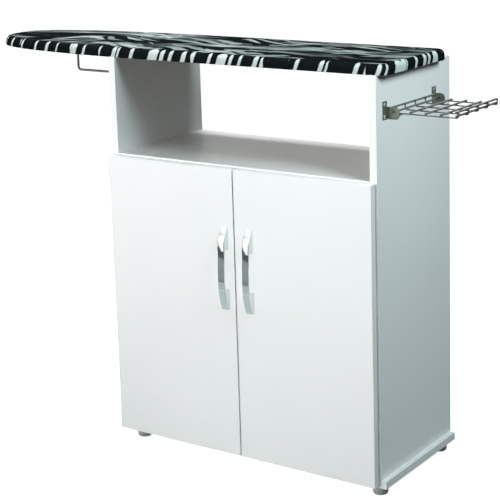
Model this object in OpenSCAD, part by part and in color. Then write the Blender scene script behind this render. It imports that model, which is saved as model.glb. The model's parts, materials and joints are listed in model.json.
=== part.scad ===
// Ironing cabinet: a two-door cupboard with an open niche, a padded ironing
// board fixed across its top, a clothes rail under the board's nose and a
// folding wire rack for the iron on its right side.
// Millimetres. X runs to the right, Y to the back and Z up from the floor,
// with the origin on the floor under the middle of the cupboard.

/* [Cupboard] */
// Width across the outer faces of the two side panels
cabinet_w = 630; // [520:10:900]
// Depth of the side panels
cabinet_d = 290; // [270:5:400]
// Height of the side panels' top edges above the floor
cabinet_h = 819; // [780:1:900]
// Thickness of the laminated panels
panel_t = 15; // [14:1:20]
// Height of the niche shelf's top face above the floor
shelf_z = 620; // [540:1:650]
// How far the base board stands out past each side panel
base_overhang = 12; // [4:1:30]
// Thickness of the back sheet
back_t = 3; // [2:0.5:5]
// Width of the rebate that takes the back sheet in each side panel
rebate_w = 7; // [4:0.5:9]
// Height of the loose shelf's top face above the base board
loose_shelf_h = 293; // [200:1:360]
// Distance of the shelf pins from the middle of the depth
pin_y = 90; // [60:1:110]
// Diameter of the shelf pins
pin_d = 5; // [4:0.5:6]
// Spacing of the shelf pin holes
pin_pitch = 32; // [20:1:50]

/* [Feet] */
// Height of the glides
foot_h = 20; // [12:1:30]
// Diameter of the glides
foot_d = 30; // [20:1:40]
// Centre of the left glides, from the base board's left end
foot_inset_left = 47; // [20:1:80]
// Centre of the right glides, from the base board's right end
foot_inset_right = 25; // [20:1:80]
// Centre of the glides, from the base board's front and back edges
foot_inset_y = 21; // [20:1:60]

/* [Doors] */
// Thickness of the doors
door_t = 15; // [15:0.5:20]
// Clear space between the doors and the front edges of the cupboard
door_gap = 2.5; // [2.5:0.1:4]
// Clear space between the two doors
middle_gap = 3; // [2:0.5:6]
// Front edge of the side panel left bare beside each door
side_reveal = 3.5; // [2:0.5:4]
// Front edge of the niche shelf left bare above the doors
top_reveal = 3.5; // [2:0.5:6]
// How far the doors hang down over the base board
base_lap = 10; // [4:1:13]

/* [Hinges] */
// Distance of each hinge from the nearer end of the door
hinge_inset = 90; // [60:1:140]
// Outer diameter of the hinge cup
cup_d = 35; // [35:1:36]
// Wood left between the cup and the door's edge
cup_edge = 2.8; // [2.6:0.1:3]
// Depth of the cup in the door
cup_depth = 12.9; // [12.9:0.1:13.4]
// Wall of the cup
cup_wall = 0.8; // [0.6:0.1:0.9]
// Distance of the hinge pin from the door's edge
pivot_edge = 6.6; // [6.4:0.1:6.6]
// Depth of the hinge pin below the door's inner face
pivot_depth = 9.6; // [9.6:0.1:9.8]
// Diameter of the hinge pin
hinge_pin_d = 2; // [1.6:0.1:2.2]
// Width of the arm where it enters the cup
neck_w = 9; // [7:0.5:9]
// Width of the arm's channel on its plate
arm_w = 14; // [12:0.5:18]
// Sheet thickness of the arm
arm_t = 2; // [1.6:0.1:2]
// Thickness of the mounting plate
plate_t = 3; // [2:0.5:3.5]
// Screws of the mounting plate, from the panel's front edge
plate_back = 37; // [32:1:45]
// Spacing of the mounting plate's two screws
plate_pitch = 32; // [28:1:36]

/* [Handles] */
// Length of the bow handle
handle_l = 170; // [140:1:220]
// Width of the bow handle
handle_w = 15.5; // [12:0.5:24]
// Reach of the bow in front of the door where it is deepest
handle_reach = 19; // [17:0.5:26]
// Deepest point of the bow below the handle's middle
bow_low = 21; // [5:1:30]
// Thickness of the handle's top edge
top_tip = 2; // [1.5:0.5:6]
// Reach of the upper foot below its sloping face
brow_reach = 14; // [12:0.5:16]
// Length of the upper foot's sloping face
brow_l = 26; // [15:1:30]
// Thickness of the handle's bottom edge
bottom_tip = 7; // [4:0.5:9]
// Thickness of the bow between its feet
bow_t = 3.5; // [2.5:0.5:4.5]
// How far the feet's fronts stand proud of the bow
bow_step = 1; // [0.5:0.5:2]
// Length of the upper foot
upper_foot_l = 48; // [40:1:55]
// Length of the lower foot
lower_foot_l = 42; // [35:1:50]
// Height of the handle's middle above the floor
handle_z = 417; // [300:1:460]
// Centre of the left handle from the middle of the cupboard
left_handle_x = 22.5; // [15:0.5:60]
// Centre of the right handle from the middle of the cupboard
right_handle_x = 36; // [15:0.5:60]

/* [Ironing board] */
// Width of the board over its cover
board_w = 250; // [240:5:285]
// Nose of the board, from the middle of the cupboard
nose_reach = 686; // [600:1:760]
// Where the board starts to taper, from the middle of the cupboard
taper_start = 205; // [150:1:320]
// How far the board stands out past the right side panel
end_overhang = 19; // [12:1:22]
// Radius of the two corners at the board's square end
end_radius = 22; // [10:1:60]
// Depth of the rounding of the board's upper edge
edge_round_h = 11; // [8:0.5:14]
// Width of the rounding of the board's upper edge
edge_round_w = 9; // [5:0.5:12]
// Thickness of the board's core
core_t = 15; // [12:1:20]
// Thickness of the foam
foam_t = 4; // [3:0.5:8]
// Thickness of the cover cloth
cloth_t = 1; // [0.8:0.1:1.5]
// Width of the cloth turned under the board
hem_w = 25; // [18:1:40]
// Spacing of the staples that hold the cloth
staple_pitch = 48; // [30:1:90]

/* [Clothes rail] */
// Diameter of the rail
rail_d = 5; // [4:0.5:10]
// Upright leg of the rail, from the middle of the cupboard
rail_reach = 508; // [420:1:560]
// Drop of the rail's middle below the board
rail_drop = 54; // [40:1:90]
// Place of the rail front to back, from the middle of the depth
rail_y = -20; // [-40:1:0]
// Radius of the rail's bend
rail_bend = 7; // [6:1:25]
// Diameter of the rail's two flanges
flange_d = 28; // [26:1:36]

/* [Iron rack] */
// Drop of the rack's pivot rod below the board
rack_drop = 72; // [67:1:110]
// Distance of the pivot rod from the side panel
pivot_out = 16; // [15:0.5:20]
// Outer rod of the rack, from the pivot rod
rack_reach = 124; // [100:1:140]
// Distance between the two end wires of the rack
rack_len = 161; // [130:1:200]
// Front end wire of the rack, from the side panel's front edge
rack_in = 46; // [40:0.5:85]
// Diameter of the long rods
rod_d = 4; // [3:0.5:5]
// Diameter of the cross wires
wire_d = 2.6; // [2:0.2:3]
// Height of the upper rods above the pivot rod
rim_h = 7; // [6:0.5:9]
// Cross wires of the rack
wire_count = 5; // [4:1:9]
// Long rods between the pivot rod and the outer rod
inner_rods = 3; // [2:1:5]
// Clear space between the end wires and the bracket ears
ear_gap = 6.7; // [4:0.1:12]
// Sheet thickness of the brackets
bracket_t = 1.5; // [1:0.5:2.5]

/* [Screws] */
// Diameter of the long assembly screws
long_screw_d = 5; // [4:0.5:6]
// Length of the long assembly screws
long_screw_l = 45; // [40:1:50]
// Diameter of the small screws
small_screw_d = 3.5; // [3:0.5:4]
// Diameter of the cam nuts in the niche shelf
cam_d = 15; // [12:1:20]

/* [Hidden] */
$fn = 48;

// Clearance round a screw or pin in its hole
fit = 0.05;
// Space left between a moving piece and what it comes to rest on
rest_gap = 0.3;
// Overshoot of every cutting shape
cut = 1;

// Panels
half_w = cabinet_w / 2;
inner_x = half_w - panel_t;
front_y = -cabinet_d / 2;
back_y = cabinet_d / 2;
base_top = foot_h + panel_t;
base_half = half_w + base_overhang;
// The back sheet lies in a rebate, so the boards in front of it stop short
sheet_gap = 1;
board_back_y = back_y - back_t - sheet_gap;
side_h = cabinet_h - base_top;
shelf_under = shelf_z - panel_t;
loose_top = base_top + loose_shelf_h;
loose_under = loose_top - panel_t;
loose_setback = 18;
loose_side_gap = 1.5;
pin_in = 9;
pin_collar_t = 1;
pin_out = 8;
pin_rows = 5;
sheet_lap = 10;

// Doors
door_back_y = front_y - door_gap;
door_front_y = door_back_y - door_t;
door_edge_x = half_w - side_reveal;
door_inner_x = middle_gap / 2;
door_bottom = base_top - base_lap;
door_top = shelf_z - top_reveal;
hinge_heights = [door_bottom + hinge_inset, door_top - hinge_inset];

// Hinges, on the right side
cup_x = door_edge_x - cup_edge - cup_d / 2;
pivot_x = door_edge_x - pivot_edge;
pivot_y = door_back_y - pivot_depth;
knuckle_r = hinge_pin_d / 2 + 0.9;
// The pin's ends stay inside the cup's round wall
pin_half = sqrt(pow(cup_d / 2, 2) - pow(pivot_x - cup_x + hinge_pin_d / 2, 2)) - fit;
// The arm's leg clears the door's inner face when the door stands open
leg_clear = 1.7;
leg_x = pivot_x - pivot_depth - leg_clear - arm_t;
channel_y = front_y + 3;
channel_l = 56;
plate_y = front_y + plate_back;
plate_half_l = plate_pitch / 2 + 8;
plate_half_w = 6;
pad_half_l = 20;
cup_screw_back = 9.5;
cup_screw_z = 22.5;
cup_screw_d = 3.5;
cup_screw_l = 11;
plate_screw_l = 13;
flange_t = 1.2;

// Handles
handle_half = handle_l / 2;
// Radius of the arc that falls by drop over a run from its deepest point
function sag_r(run, drop) = (run * run + drop * drop) / (2 * drop);
bow_upper_r = sag_r(handle_half - brow_l + bow_low, handle_reach - brow_reach);
bow_lower_r = sag_r(handle_half - bow_low, handle_reach - bottom_tip);
function handle_x(side) = side == "left" ? left_handle_x : right_handle_x;
handle_screw_d = 4;
handle_screw_in = 8;
upper_screw_s = handle_half - upper_foot_l / 2;
lower_screw_s = -handle_half + lower_foot_l / 2;

// Ironing board
core_z = cabinet_h;
foam_z = core_z + core_t;
cloth_z = foam_z + foam_t;
board_top = cloth_z + cloth_t;
board_mid_y = front_y + board_w / 2;
board_end_x = half_w + end_overhang;
nose_l = nose_reach - taper_start;
// Powers of the nose's curve along and across the board
nose_along = 2.1;
nose_across = 3.1;
nose_steps = 28;
corner_steps = 6;
// Slack between the cloth and the core's edge
cloth_slack = 0.4;
// Levels below the top at which the rounding of the upper edge is drawn
edge_steps = 4;
edge_levels = [for (i = [0 : edge_steps]) edge_round_h * (1 - sin(90 * i / edge_steps))];
slice_t = 0.2;
// Inset of the outline at a depth below the top
function edge_inset(depth) =
  depth >= edge_round_h ? 0 : edge_round_w * (1 - sqrt(1 - pow(1 - depth / edge_round_h, 2)));
// Inset of the core, whose upper edge meets the foam's lower one
core_in = cloth_t + cloth_slack + edge_inset(foam_t);

// Clothes rail
rail_z = cabinet_h - rail_drop;
flange_t_rail = 2.5;
collar_h = 8;
collar_wall = 2.2;
rail_screw_d = 3;
rail_screw_l = 12;
rail_screw_out = (rail_d / 2 + collar_wall + flange_d / 2) / 2;

// Iron rack
rod_r = rod_d / 2;
rack_z = cabinet_h - rack_drop;
rack_y = front_y + rack_in + rack_len / 2;
wire_r = wire_d / 2;
rack_pivot_x = half_w + pivot_out;
rack_outer_x = rack_pivot_x + rack_reach;
rack_front_y = rack_y - rack_len / 2;
rack_rear_y = rack_y + rack_len / 2;
nest = rod_r + wire_r;
wire_z = rack_z - nest;
upright_in_x = rack_pivot_x - nest;
upright_out_x = rack_outer_x + nest;
rim_z = rack_z + rim_h;
rod_over = 2;
ear_front_y = rack_front_y - wire_r - ear_gap;
pivot_end = 3;
ear_x = rack_pivot_x + 4;
ear_r = 8;
ear_above = 9;
ear_below = 14;
plate_w = 15;
plate_above = 20;
plate_below = 15;
bracket_screw_d = 4;
bracket_screw_in = 12;
bracket_screw_y = 8;
tab_x = rack_pivot_x + 5;
tab_w = 7;

// ---------------------------------------------------------------- fasteners

// Countersunk screw with its head's face at z = 0 and its point downwards
module flat_screw(d, l) {
  head_r = d;
  head_h = d / 2;
  point = d * 0.6;
  difference() {
    union() {
      translate([0, 0, -head_h]) cylinder(h = head_h, r1 = d / 2, r2 = head_r, $fn = 24);
      translate([0, 0, point - l]) cylinder(h = l - point - head_h / 2, r = d / 2, $fn = 24);
      translate([0, 0, -l]) cylinder(h = point, r1 = d / 8, r2 = d / 2, $fn = 24);
    }
    cross_slot(d);
  }
}

// Pan-head screw with its head above z = 0 and its point downwards
module pan_screw(d, l) {
  head_h = d * 0.6;
  point = d * 0.6;
  difference() {
    union() {
      cylinder(h = head_h, r1 = d, r2 = d * 0.8, $fn = 24);
      translate([0, 0, point - l]) cylinder(h = l - point, r = d / 2, $fn = 24);
      translate([0, 0, -l]) cylinder(h = point, r1 = d / 8, r2 = d / 2, $fn = 24);
    }
    translate([0, 0, head_h]) cross_slot(d);
  }
}

module cross_slot(d) {
  for (turn = [0, 90])
    rotate([0, 0, turn]) translate([-d / 2, -d / 10, -d / 4]) cube([d, d / 5, d / 2]);
}

// Hole for a screw of the same size, open upwards past its head
module screw_hole(d, l, countersunk = true) {
  translate([0, 0, -l - fit]) cylinder(h = l + fit + cut, r = d / 2 + fit, $fn = 24);
  if (countersunk)
    translate([0, 0, -d / 2]) cylinder(h = d / 2 + fit, r1 = d / 2 + fit, r2 = d + 2 * fit, $fn = 24);
}

// A copy on the right side, or mirrored to the left
module on_side(side) {
  mirror([side == "left" ? 1 : 0, 0, 0]) children();
}

// ---------------------------------------------------------------- cupboard

assembly_screw_y = [front_y + 40, board_mid_y + board_w / 2 - 40];
base_screw_y = [front_y + 45, back_y - 45];
cam_y = [-pin_y, pin_y];
cam_in = 34;
cam_h = 12;
cam_bolt_d = 6;
cam_thread_in = 10;
cam_thread_r = cam_bolt_d / 2 - 0.5;
cam_head_t = 3;

module side_panel(side) {
  on_side(side) difference() {
    translate([inner_x, front_y, base_top]) cube([panel_t, cabinet_d, side_h]);
    // rebate for the back sheet
    translate([inner_x - cut, board_back_y, base_top - cut])
      cube([rebate_w + cut, cabinet_d, shelf_z - base_top + cut]);
    pin_holes();
    cam_holes();
    hinge_plate_holes();
    for (y = assembly_screw_y)
      translate([half_w - panel_t / 2, y, core_z + core_t]) screw_hole(long_screw_d, long_screw_l, false);
    for (y = base_screw_y)
      translate([half_w - panel_t / 2, y, foot_h]) rotate([180, 0, 0])
        screw_hole(long_screw_d, long_screw_l, false);
  }
}

module pin_holes() {
  for (y = [-pin_y, pin_y], row = [0 : pin_rows - 1])
    translate([inner_x, y, loose_under - pin_d / 2 + (row - (pin_rows - 1) / 2) * pin_pitch])
      rotate([0, 90, 0]) translate([0, 0, -cut]) cylinder(h = pin_in + cut, r = pin_d / 2 + fit, $fn = 24);
}

module cam_holes() {
  for (y = cam_y)
    translate([inner_x - cut, y, shelf_under + panel_t / 2]) rotate([0, 90, 0])
      cylinder(h = cam_thread_in + cut, r = cam_thread_r + fit, $fn = 24);
}

module hinge_plate_holes() {
  for (z = hinge_heights, dz = [-1, 1])
    translate([inner_x - plate_t, plate_y, z + dz * plate_pitch / 2]) rotate([0, -90, 0])
      screw_hole(small_screw_d, plate_screw_l, false);
}

module left_side_panel() {
  color("white") difference() {
    side_panel("left");
    translate([-half_w - flange_t_rail, rail_y, rail_z]) rotate([90, 0, -90]) rail_flange_holes();
  }
}

module right_side_panel() {
  color("white") difference() {
    side_panel("right");
    bracket_screw_places() screw_hole(bracket_screw_d, bracket_screw_in, false);
  }
}

module base_panel() {
  color("white") difference() {
    translate([-base_half, front_y, foot_h]) cube([2 * base_half, board_back_y - front_y, panel_t]);
    for (side = [-1, 1], y = base_screw_y)
      translate([side * (half_w - panel_t / 2), y, foot_h]) rotate([180, 0, 0])
        screw_hole(long_screw_d, long_screw_l);
    for (p = foot_places)
      translate([p[0], p[1], foot_h]) rotate([180, 0, 0]) screw_hole(small_screw_d, foot_screw_in, false);
  }
}

module niche_shelf() {
  color("white") difference() {
    translate([-inner_x, front_y, shelf_under]) cube([2 * inner_x, board_back_y - front_y, panel_t]);
    for (side = ["left", "right"], y = cam_y) on_side(side) {
      translate([inner_x - cam_in, y, shelf_under - cut])
        cylinder(h = cam_h + fit + cut, r = cam_d / 2 + fit);
      translate([inner_x - cam_in, y, shelf_under + panel_t / 2]) rotate([0, 90, 0])
        cylinder(h = cam_in + cut, r = cam_bolt_d / 2 + fit, $fn = 24);
    }
  }
}

module loose_shelf() {
  color("white")
    translate([loose_side_gap - inner_x, front_y + loose_setback, loose_under])
      cube([2 * (inner_x - loose_side_gap), board_back_y - front_y - loose_setback - rest_gap, panel_t]);
}

module back_sheet() {
  color("white")
    translate([rest_gap - inner_x - rebate_w, board_back_y, base_top - sheet_lap])
      cube([2 * (inner_x + rebate_w - rest_gap), back_t, shelf_z - base_top + sheet_lap - rest_gap]);
}

module shelf_pins() {
  color("silver")
    for (side = ["left", "right"], y = [-pin_y, pin_y]) on_side(side)
      translate([inner_x + pin_in - fit, y, loose_under - pin_d / 2]) rotate([0, -90, 0]) {
        cylinder(h = pin_in + pin_out, r = pin_d / 2, $fn = 24);
        translate([0, 0, pin_in]) cylinder(h = pin_collar_t, r = pin_d / 2 + 1.2, $fn = 24);
      }
}

module cam_nuts() {
  color("silver")
    for (side = ["left", "right"], y = cam_y) on_side(side)
      translate([inner_x - cam_in, y, shelf_under]) difference() {
        cylinder(h = cam_h, r = cam_d / 2);
        // half tunnel that takes the bolt's head
        translate([0, 0, panel_t / 2]) rotate([0, 90, 0])
          cylinder(h = cam_d, r = cam_bolt_d / 2 + fit, $fn = 24);
        cross_slot(cam_d * 0.6);
      }
}

module cam_bolts() {
  color("silver")
    for (side = ["left", "right"], y = cam_y) on_side(side)
      translate([inner_x - cam_in + 1, y, shelf_under + panel_t / 2]) rotate([0, 90, 0]) {
        cylinder(h = cam_head_t, r = cam_bolt_d / 2, $fn = 24);
        cylinder(h = cam_in - 1, r = cam_bolt_d / 2 - 1.2, $fn = 24);
        translate([0, 0, cam_in - 1 - cam_head_t]) cylinder(h = cam_head_t, r = cam_bolt_d / 2, $fn = 24);
        translate([0, 0, cam_in - 1]) cylinder(h = cam_thread_in - fit, r = cam_thread_r, $fn = 24);
      }
}

module base_screws() {
  color("silver")
    for (side = [-1, 1], y = base_screw_y)
      translate([side * (half_w - panel_t / 2), y, foot_h]) rotate([180, 0, 0])
        flat_screw(long_screw_d, long_screw_l);
}

module board_screws() {
  color("silver")
    for (side = [-1, 1], y = assembly_screw_y)
      translate([side * (half_w - panel_t / 2), y, foam_z]) flat_screw(long_screw_d, long_screw_l);
}

// Thin nails with flat heads that pin the sheet to the shelf, the base and the rebates
nail_l = 12;
nail_r = 0.7;
nail_head_r = 1.8;
nail_head_t = 0.6;

module nail() {
  translate([0, nail_head_t - nail_l, 0]) rotate([-90, 0, 0])
    cylinder(h = nail_l - nail_head_t / 2, r = nail_r, $fn = 16);
  rotate([-90, 0, 0]) cylinder(h = nail_head_t, r = nail_head_r, $fn = 16);
}

module back_sheet_nails() {
  nail_y = board_back_y + back_t;
  across = [for (i = [-2 : 2]) i * inner_x / 2.6];
  up = [for (i = [1 : 4]) base_top + i * (shelf_under - base_top) / 5];
  color("silver") {
    for (x = across, z = [foot_h + panel_t * 0.62, shelf_z - panel_t / 2]) translate([x, nail_y, z]) nail();
    for (side = [-1, 1], z = up) translate([side * (inner_x + rebate_w / 2), nail_y, z]) nail();
  }
}

module door_buffers() {
  buffer_r = 4;
  buffer_x = 24;
  color("gainsboro")
    for (x = [-buffer_x, buffer_x], z = [base_top - base_lap / 2, door_top - buffer_r - 1])
      translate([x, front_y, z]) rotate([90, 0, 0]) cylinder(h = door_gap - rest_gap, r = buffer_r);
}

// ---------------------------------------------------------------- glides

foot_screw_in = 12;
foot_recess = 12;
foot_places = [
  [foot_inset_left - base_half, front_y + foot_inset_y],
  [base_half - foot_inset_right, front_y + foot_inset_y],
  [foot_inset_left - base_half, board_back_y - foot_inset_y],
  [base_half - foot_inset_right, board_back_y - foot_inset_y],
];

// Round plastic glide with a rounded lower edge and a recess for its screw
module foot(place) {
  foot_r = foot_d / 2;
  edge = 4;
  recess_r = small_screw_d + 1;
  color("darkgray") translate([place[0], place[1], 0]) rotate_extrude($fn = 64) difference() {
    union() {
      translate([0, edge]) square([foot_r, foot_h - edge]);
      square([foot_r - edge, foot_h]);
      translate([foot_r - edge, edge]) circle(r = edge, $fn = 32);
    }
    translate([-cut, -cut]) square([recess_r + cut, foot_recess + cut]);
    translate([-cut, -cut]) square([small_screw_d / 2 + fit + cut, foot_h + 2 * cut]);
    translate([-foot_r, -cut]) square([foot_r, foot_h + 2 * cut]);
  }
}

module foot_front_left() foot(foot_places[0]);
module foot_front_right() foot(foot_places[1]);
module foot_rear_left() foot(foot_places[2]);
module foot_rear_right() foot(foot_places[3]);

module foot_screws() {
  color("silver")
    for (p = foot_places)
      translate([p[0], p[1], foot_recess]) rotate([180, 0, 0])
        pan_screw(small_screw_d, foot_h - foot_recess + foot_screw_in);
}

// ---------------------------------------------------------------- doors

module door(side) {
  door_w = door_edge_x - door_inner_x;
  on_side(side) difference() {
    translate([door_inner_x, door_front_y, door_bottom]) cube([door_w, door_t, door_top - door_bottom]);
    for (z = hinge_heights) translate([cup_x, door_back_y + cut, z]) rotate([90, 0, 0]) {
      cylinder(h = cup_depth + fit + cut, r = cup_d / 2 + fit, $fn = 64);
      for (dz = [-1, 1])
        translate([-cup_screw_back, dz * cup_screw_z, 0])
          cylinder(h = cup_screw_l + cut, r = cup_screw_d / 2 + fit, $fn = 24);
    }
    for (s = [lower_screw_s, upper_screw_s])
      translate([handle_x(side), door_front_y - cut, handle_z + s]) rotate([-90, 0, 0])
        cylinder(h = door_t + 2 * cut, r = handle_screw_d / 2 + fit, $fn = 24);
  }
}

module left_door() color("white") door("left");
module right_door() color("white") door("right");

// Side view of what lies behind the bow's front when that is set back by inset: two arcs that meet
// at its deepest point. x is the reach in front of the door and y runs along the handle.
module behind_bow(inset, from = 0) {
  upper = [bow_upper_r, -bow_low, handle_half + bow_low];
  lower = [bow_lower_r, -handle_half, handle_half - bow_low];
  for (arc = [upper, lower])
    intersection() {
      translate([from, arc[1]]) square([handle_reach - from, arc[2]]);
      translate([handle_reach - arc[0], -bow_low]) circle(r = arc[0] - inset, $fn = 360);
    }
}

module handle_outline() {
  gap_low = -handle_half + lower_foot_l;
  gap_high = handle_half - upper_foot_l;
  difference() {
    behind_bow(0);
    // the upper foot's face slopes back to a thin top edge
    polygon([
      [top_tip, handle_half], [brow_reach, handle_half - brow_l], [handle_reach + cut, handle_half - brow_l],
      [handle_reach + cut, handle_half + cut], [top_tip, handle_half + cut],
    ]);
    // the bow's front lies a little behind the fronts of the feet
    difference() {
      translate([0, gap_low]) square([handle_reach + cut, gap_high - gap_low]);
      behind_bow(bow_step, -cut);
    }
    // finger gap behind the bow
    intersection() {
      behind_bow(bow_step + bow_t, -cut);
      translate([-cut, gap_low]) square([handle_reach + cut, gap_high - gap_low]);
    }
  }
}

module handle(side) {
  on_side(side) translate([handle_x(side), door_front_y, handle_z]) difference() {
    translate([handle_w / 2, 0, 0]) rotate([0, 0, -90]) rotate([90, 0, 0]) mirror([0, 0, 1])
      translate([0, 0, -handle_w]) linear_extrude(handle_w) handle_outline();
    for (s = [lower_screw_s, upper_screw_s])
      translate([0, cut, s]) rotate([90, 0, 0])
        cylinder(h = handle_screw_in + cut, r = handle_screw_d / 2 + fit, $fn = 24);
  }
}

module left_handle() color("lightgray") handle("left");
module right_handle() color("lightgray") handle("right");

module handle_screws(side) {
  on_side(side)
    for (s = [lower_screw_s, upper_screw_s])
      translate([handle_x(side), door_back_y, handle_z + s]) rotate([-90, 0, 0])
        pan_head_bolt(handle_screw_d, door_t + handle_screw_in - fit, door_gap - 2 * rest_gap);
}

// Machine screw with a low head above z = 0
module pan_head_bolt(d, l, head_h) {
  difference() {
    union() {
      cylinder(h = head_h, r1 = d, r2 = d * 0.85, $fn = 24);
      translate([0, 0, -l]) cylinder(h = l, r = d / 2, $fn = 24);
    }
    translate([0, 0, head_h]) cross_slot(d);
  }
}

module left_handle_screws() color("silver") handle_screws("left");
module right_handle_screws() color("silver") handle_screws("right");

// ---------------------------------------------------------------- hinges

// Pressed cup set in the door, with a wing that carries its two screws
module hinge_cup(side, z) {
  wing_half_w = 5;
  wing_half_l = cup_screw_z + 5;
  inner_r = cup_d / 2 - cup_wall;
  on_side(side) translate([cup_x, door_back_y, z]) difference() {
    union() {
      rotate([90, 0, 0]) cylinder(h = cup_depth, r = cup_d / 2, $fn = 64);
      translate([-cup_screw_back - wing_half_w, 0, -wing_half_l])
        cube([2 * wing_half_w, flange_t, 2 * wing_half_l]);
      intersection() {
        rotate([-90, 0, 0]) cylinder(h = flange_t, r = cup_d / 2 + 2, $fn = 64);
        translate([-cup_d, 0, -cup_d]) cube([cup_d + cup_d / 4, flange_t, 2 * cup_d]);
      }
    }
    translate([0, flange_t + cut, 0]) rotate([90, 0, 0])
      cylinder(h = flange_t + cut + cup_depth - cup_wall, r = inner_r, $fn = 64);
    translate([pivot_x - cup_x, -pivot_depth, -cup_d])
      cylinder(h = 2 * cup_d, r = hinge_pin_d / 2 + fit / 2, $fn = 24);
    for (dz = [-1, 1])
      translate([-cup_screw_back, flange_t + cut, dz * cup_screw_z]) rotate([90, 0, 0])
        cylinder(h = flange_t + 2 * cut, r = cup_screw_d / 2 + fit, $fn = 24);
  }
}

module hinge_pins(side) {
  on_side(side)
    for (z = hinge_heights)
      translate([pivot_x, pivot_y, z - pin_half]) cylinder(h = 2 * pin_half, r = hinge_pin_d / 2, $fn = 24);
}

module cup_screws(side) {
  head_h = door_gap - flange_t - 2 * rest_gap;
  on_side(side)
    for (z = hinge_heights, dz = [-1, 1])
      translate([cup_x - cup_screw_back, door_back_y + flange_t, z + dz * cup_screw_z]) rotate([-90, 0, 0]) {
        cylinder(h = head_h, r = cup_screw_d, $fn = 24);
        translate([0, 0, -cup_screw_l]) cylinder(h = cup_screw_l, r = cup_screw_d / 2, $fn = 24);
      }
}

// Gooseneck arm: a knuckle round the pin, a neck that comes back out of the cup
// and a channel that sits on the mounting plate
module hinge_arm(side, z) {
  channel_wall = 1.5;
  web_t = inner_x - plate_t - leg_x;
  on_side(side) translate([0, 0, z]) difference() {
    union() {
      translate([pivot_x, pivot_y, -neck_w / 2]) cylinder(h = neck_w, r = knuckle_r, $fn = 32);
      translate([leg_x, pivot_y - arm_t / 2, -neck_w / 2]) cube([pivot_x - leg_x, arm_t, neck_w]);
      translate([leg_x, 0, 0]) rotate([90, 0, 90]) linear_extrude(arm_t) polygon([
        [pivot_y - arm_t / 2, -neck_w / 2], [front_y - 4, -neck_w / 2], [channel_y, -arm_w / 2],
        [channel_y + channel_l, -arm_w / 2], [channel_y + channel_l, arm_w / 2],
        [channel_y, arm_w / 2], [front_y - 4, neck_w / 2], [pivot_y - arm_t / 2, neck_w / 2],
      ]);
      for (dz = [-arm_w / 2, arm_w / 2 - channel_wall])
        translate([leg_x, channel_y, dz]) cube([web_t, channel_l, channel_wall]);
    }
    translate([pivot_x, pivot_y, -neck_w]) cylinder(h = 2 * neck_w, r = hinge_pin_d / 2 + fit, $fn = 24);
    translate([leg_x - cut, plate_y, 0]) rotate([0, 90, 0])
      cylinder(h = arm_t + 2 * cut, r = arm_screw_d / 2 + fit, $fn = 24);
  }
}

arm_screw_d = 5;
arm_screw_l = 5;

// Cross-shaped plate screwed to the panel, with a raised pad inside the arm's channel
module hinge_plate(side, z) {
  pad_half_w = arm_w / 2 - 1.5 - rest_gap;
  on_side(side) translate([0, 0, z]) difference() {
    union() {
      translate([inner_x - plate_t, plate_y - plate_half_w, -plate_half_l])
        cube([plate_t, 2 * plate_half_w, 2 * plate_half_l]);
      translate([inner_x - plate_t, plate_y - pad_half_l, -arm_w / 2]) cube([plate_t, 2 * pad_half_l, arm_w]);
      translate([leg_x + arm_t, plate_y - pad_half_l, -pad_half_w])
        cube([inner_x - plate_t - leg_x - arm_t + cut, 2 * pad_half_l, 2 * pad_half_w]);
    }
    for (dz = [-1, 1])
      translate([inner_x - plate_t, plate_y, dz * plate_pitch / 2]) rotate([0, -90, 0])
        screw_hole(small_screw_d, plate_t + cut, false);
    translate([leg_x, plate_y, 0]) rotate([0, 90, 0])
      cylinder(h = arm_screw_l + fit, r = arm_screw_d / 2 + fit, $fn = 24);
  }
}

module hinge_plate_screws() {
  color("silver")
    for (side = ["left", "right"], z = hinge_heights, dz = [-1, 1]) on_side(side)
      translate([inner_x - plate_t, plate_y, z + dz * plate_pitch / 2]) rotate([0, -90, 0])
        pan_screw(small_screw_d, plate_screw_l);
}

module hinge_arm_screws() {
  color("silver")
    for (side = ["left", "right"], z = hinge_heights) on_side(side)
      translate([leg_x, plate_y, z]) rotate([0, -90, 0]) {
        cylinder(h = 2.2, r = arm_screw_d * 0.85, $fn = 24);
        translate([0, 0, -arm_screw_l]) cylinder(h = arm_screw_l, r = arm_screw_d / 2, $fn = 24);
      }
}

module hinge_plate_left_upper() color("silver") hinge_plate("left", hinge_heights[1]);
module hinge_plate_left_lower() color("silver") hinge_plate("left", hinge_heights[0]);
module hinge_plate_right_upper() color("silver") hinge_plate("right", hinge_heights[1]);
module hinge_plate_right_lower() color("silver") hinge_plate("right", hinge_heights[0]);
module hinge_arm_left_upper() color("silver") hinge_arm("left", hinge_heights[1]);
module hinge_arm_left_lower() color("silver") hinge_arm("left", hinge_heights[0]);
module hinge_arm_right_upper() color("silver") hinge_arm("right", hinge_heights[1]);
module hinge_arm_right_lower() color("silver") hinge_arm("right", hinge_heights[0]);
module hinge_cup_left_upper() color("silver") hinge_cup("left", hinge_heights[1]);
module hinge_cup_left_lower() color("silver") hinge_cup("left", hinge_heights[0]);
module hinge_cup_right_upper() color("silver") hinge_cup("right", hinge_heights[1]);
module hinge_cup_right_lower() color("silver") hinge_cup("right", hinge_heights[0]);
module left_hinge_pins() color("silver") hinge_pins("left");
module right_hinge_pins() color("silver") hinge_pins("right");
module left_cup_screws() color("silver") cup_screws("left");
module right_cup_screws() color("silver") cup_screws("right");

// ---------------------------------------------------------------- ironing board

// Share of the board's half width at a share of the nose's length, 0 at the tip
function nose_half(share) = pow(max(0, 1 - pow(1 - share, nose_along)), 1 / nose_across);
function nose_share(i) = pow(1 - cos(90 * i / nose_steps), 1.3);
// Quarter circle round the middle of one of the square end's corners
function corner_arc(x, y, r, from) = [
  for (i = [0 : corner_steps])
    let (a = from + 90 * i / corner_steps) [x + r * cos(a), y + r * sin(a)]
];
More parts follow.
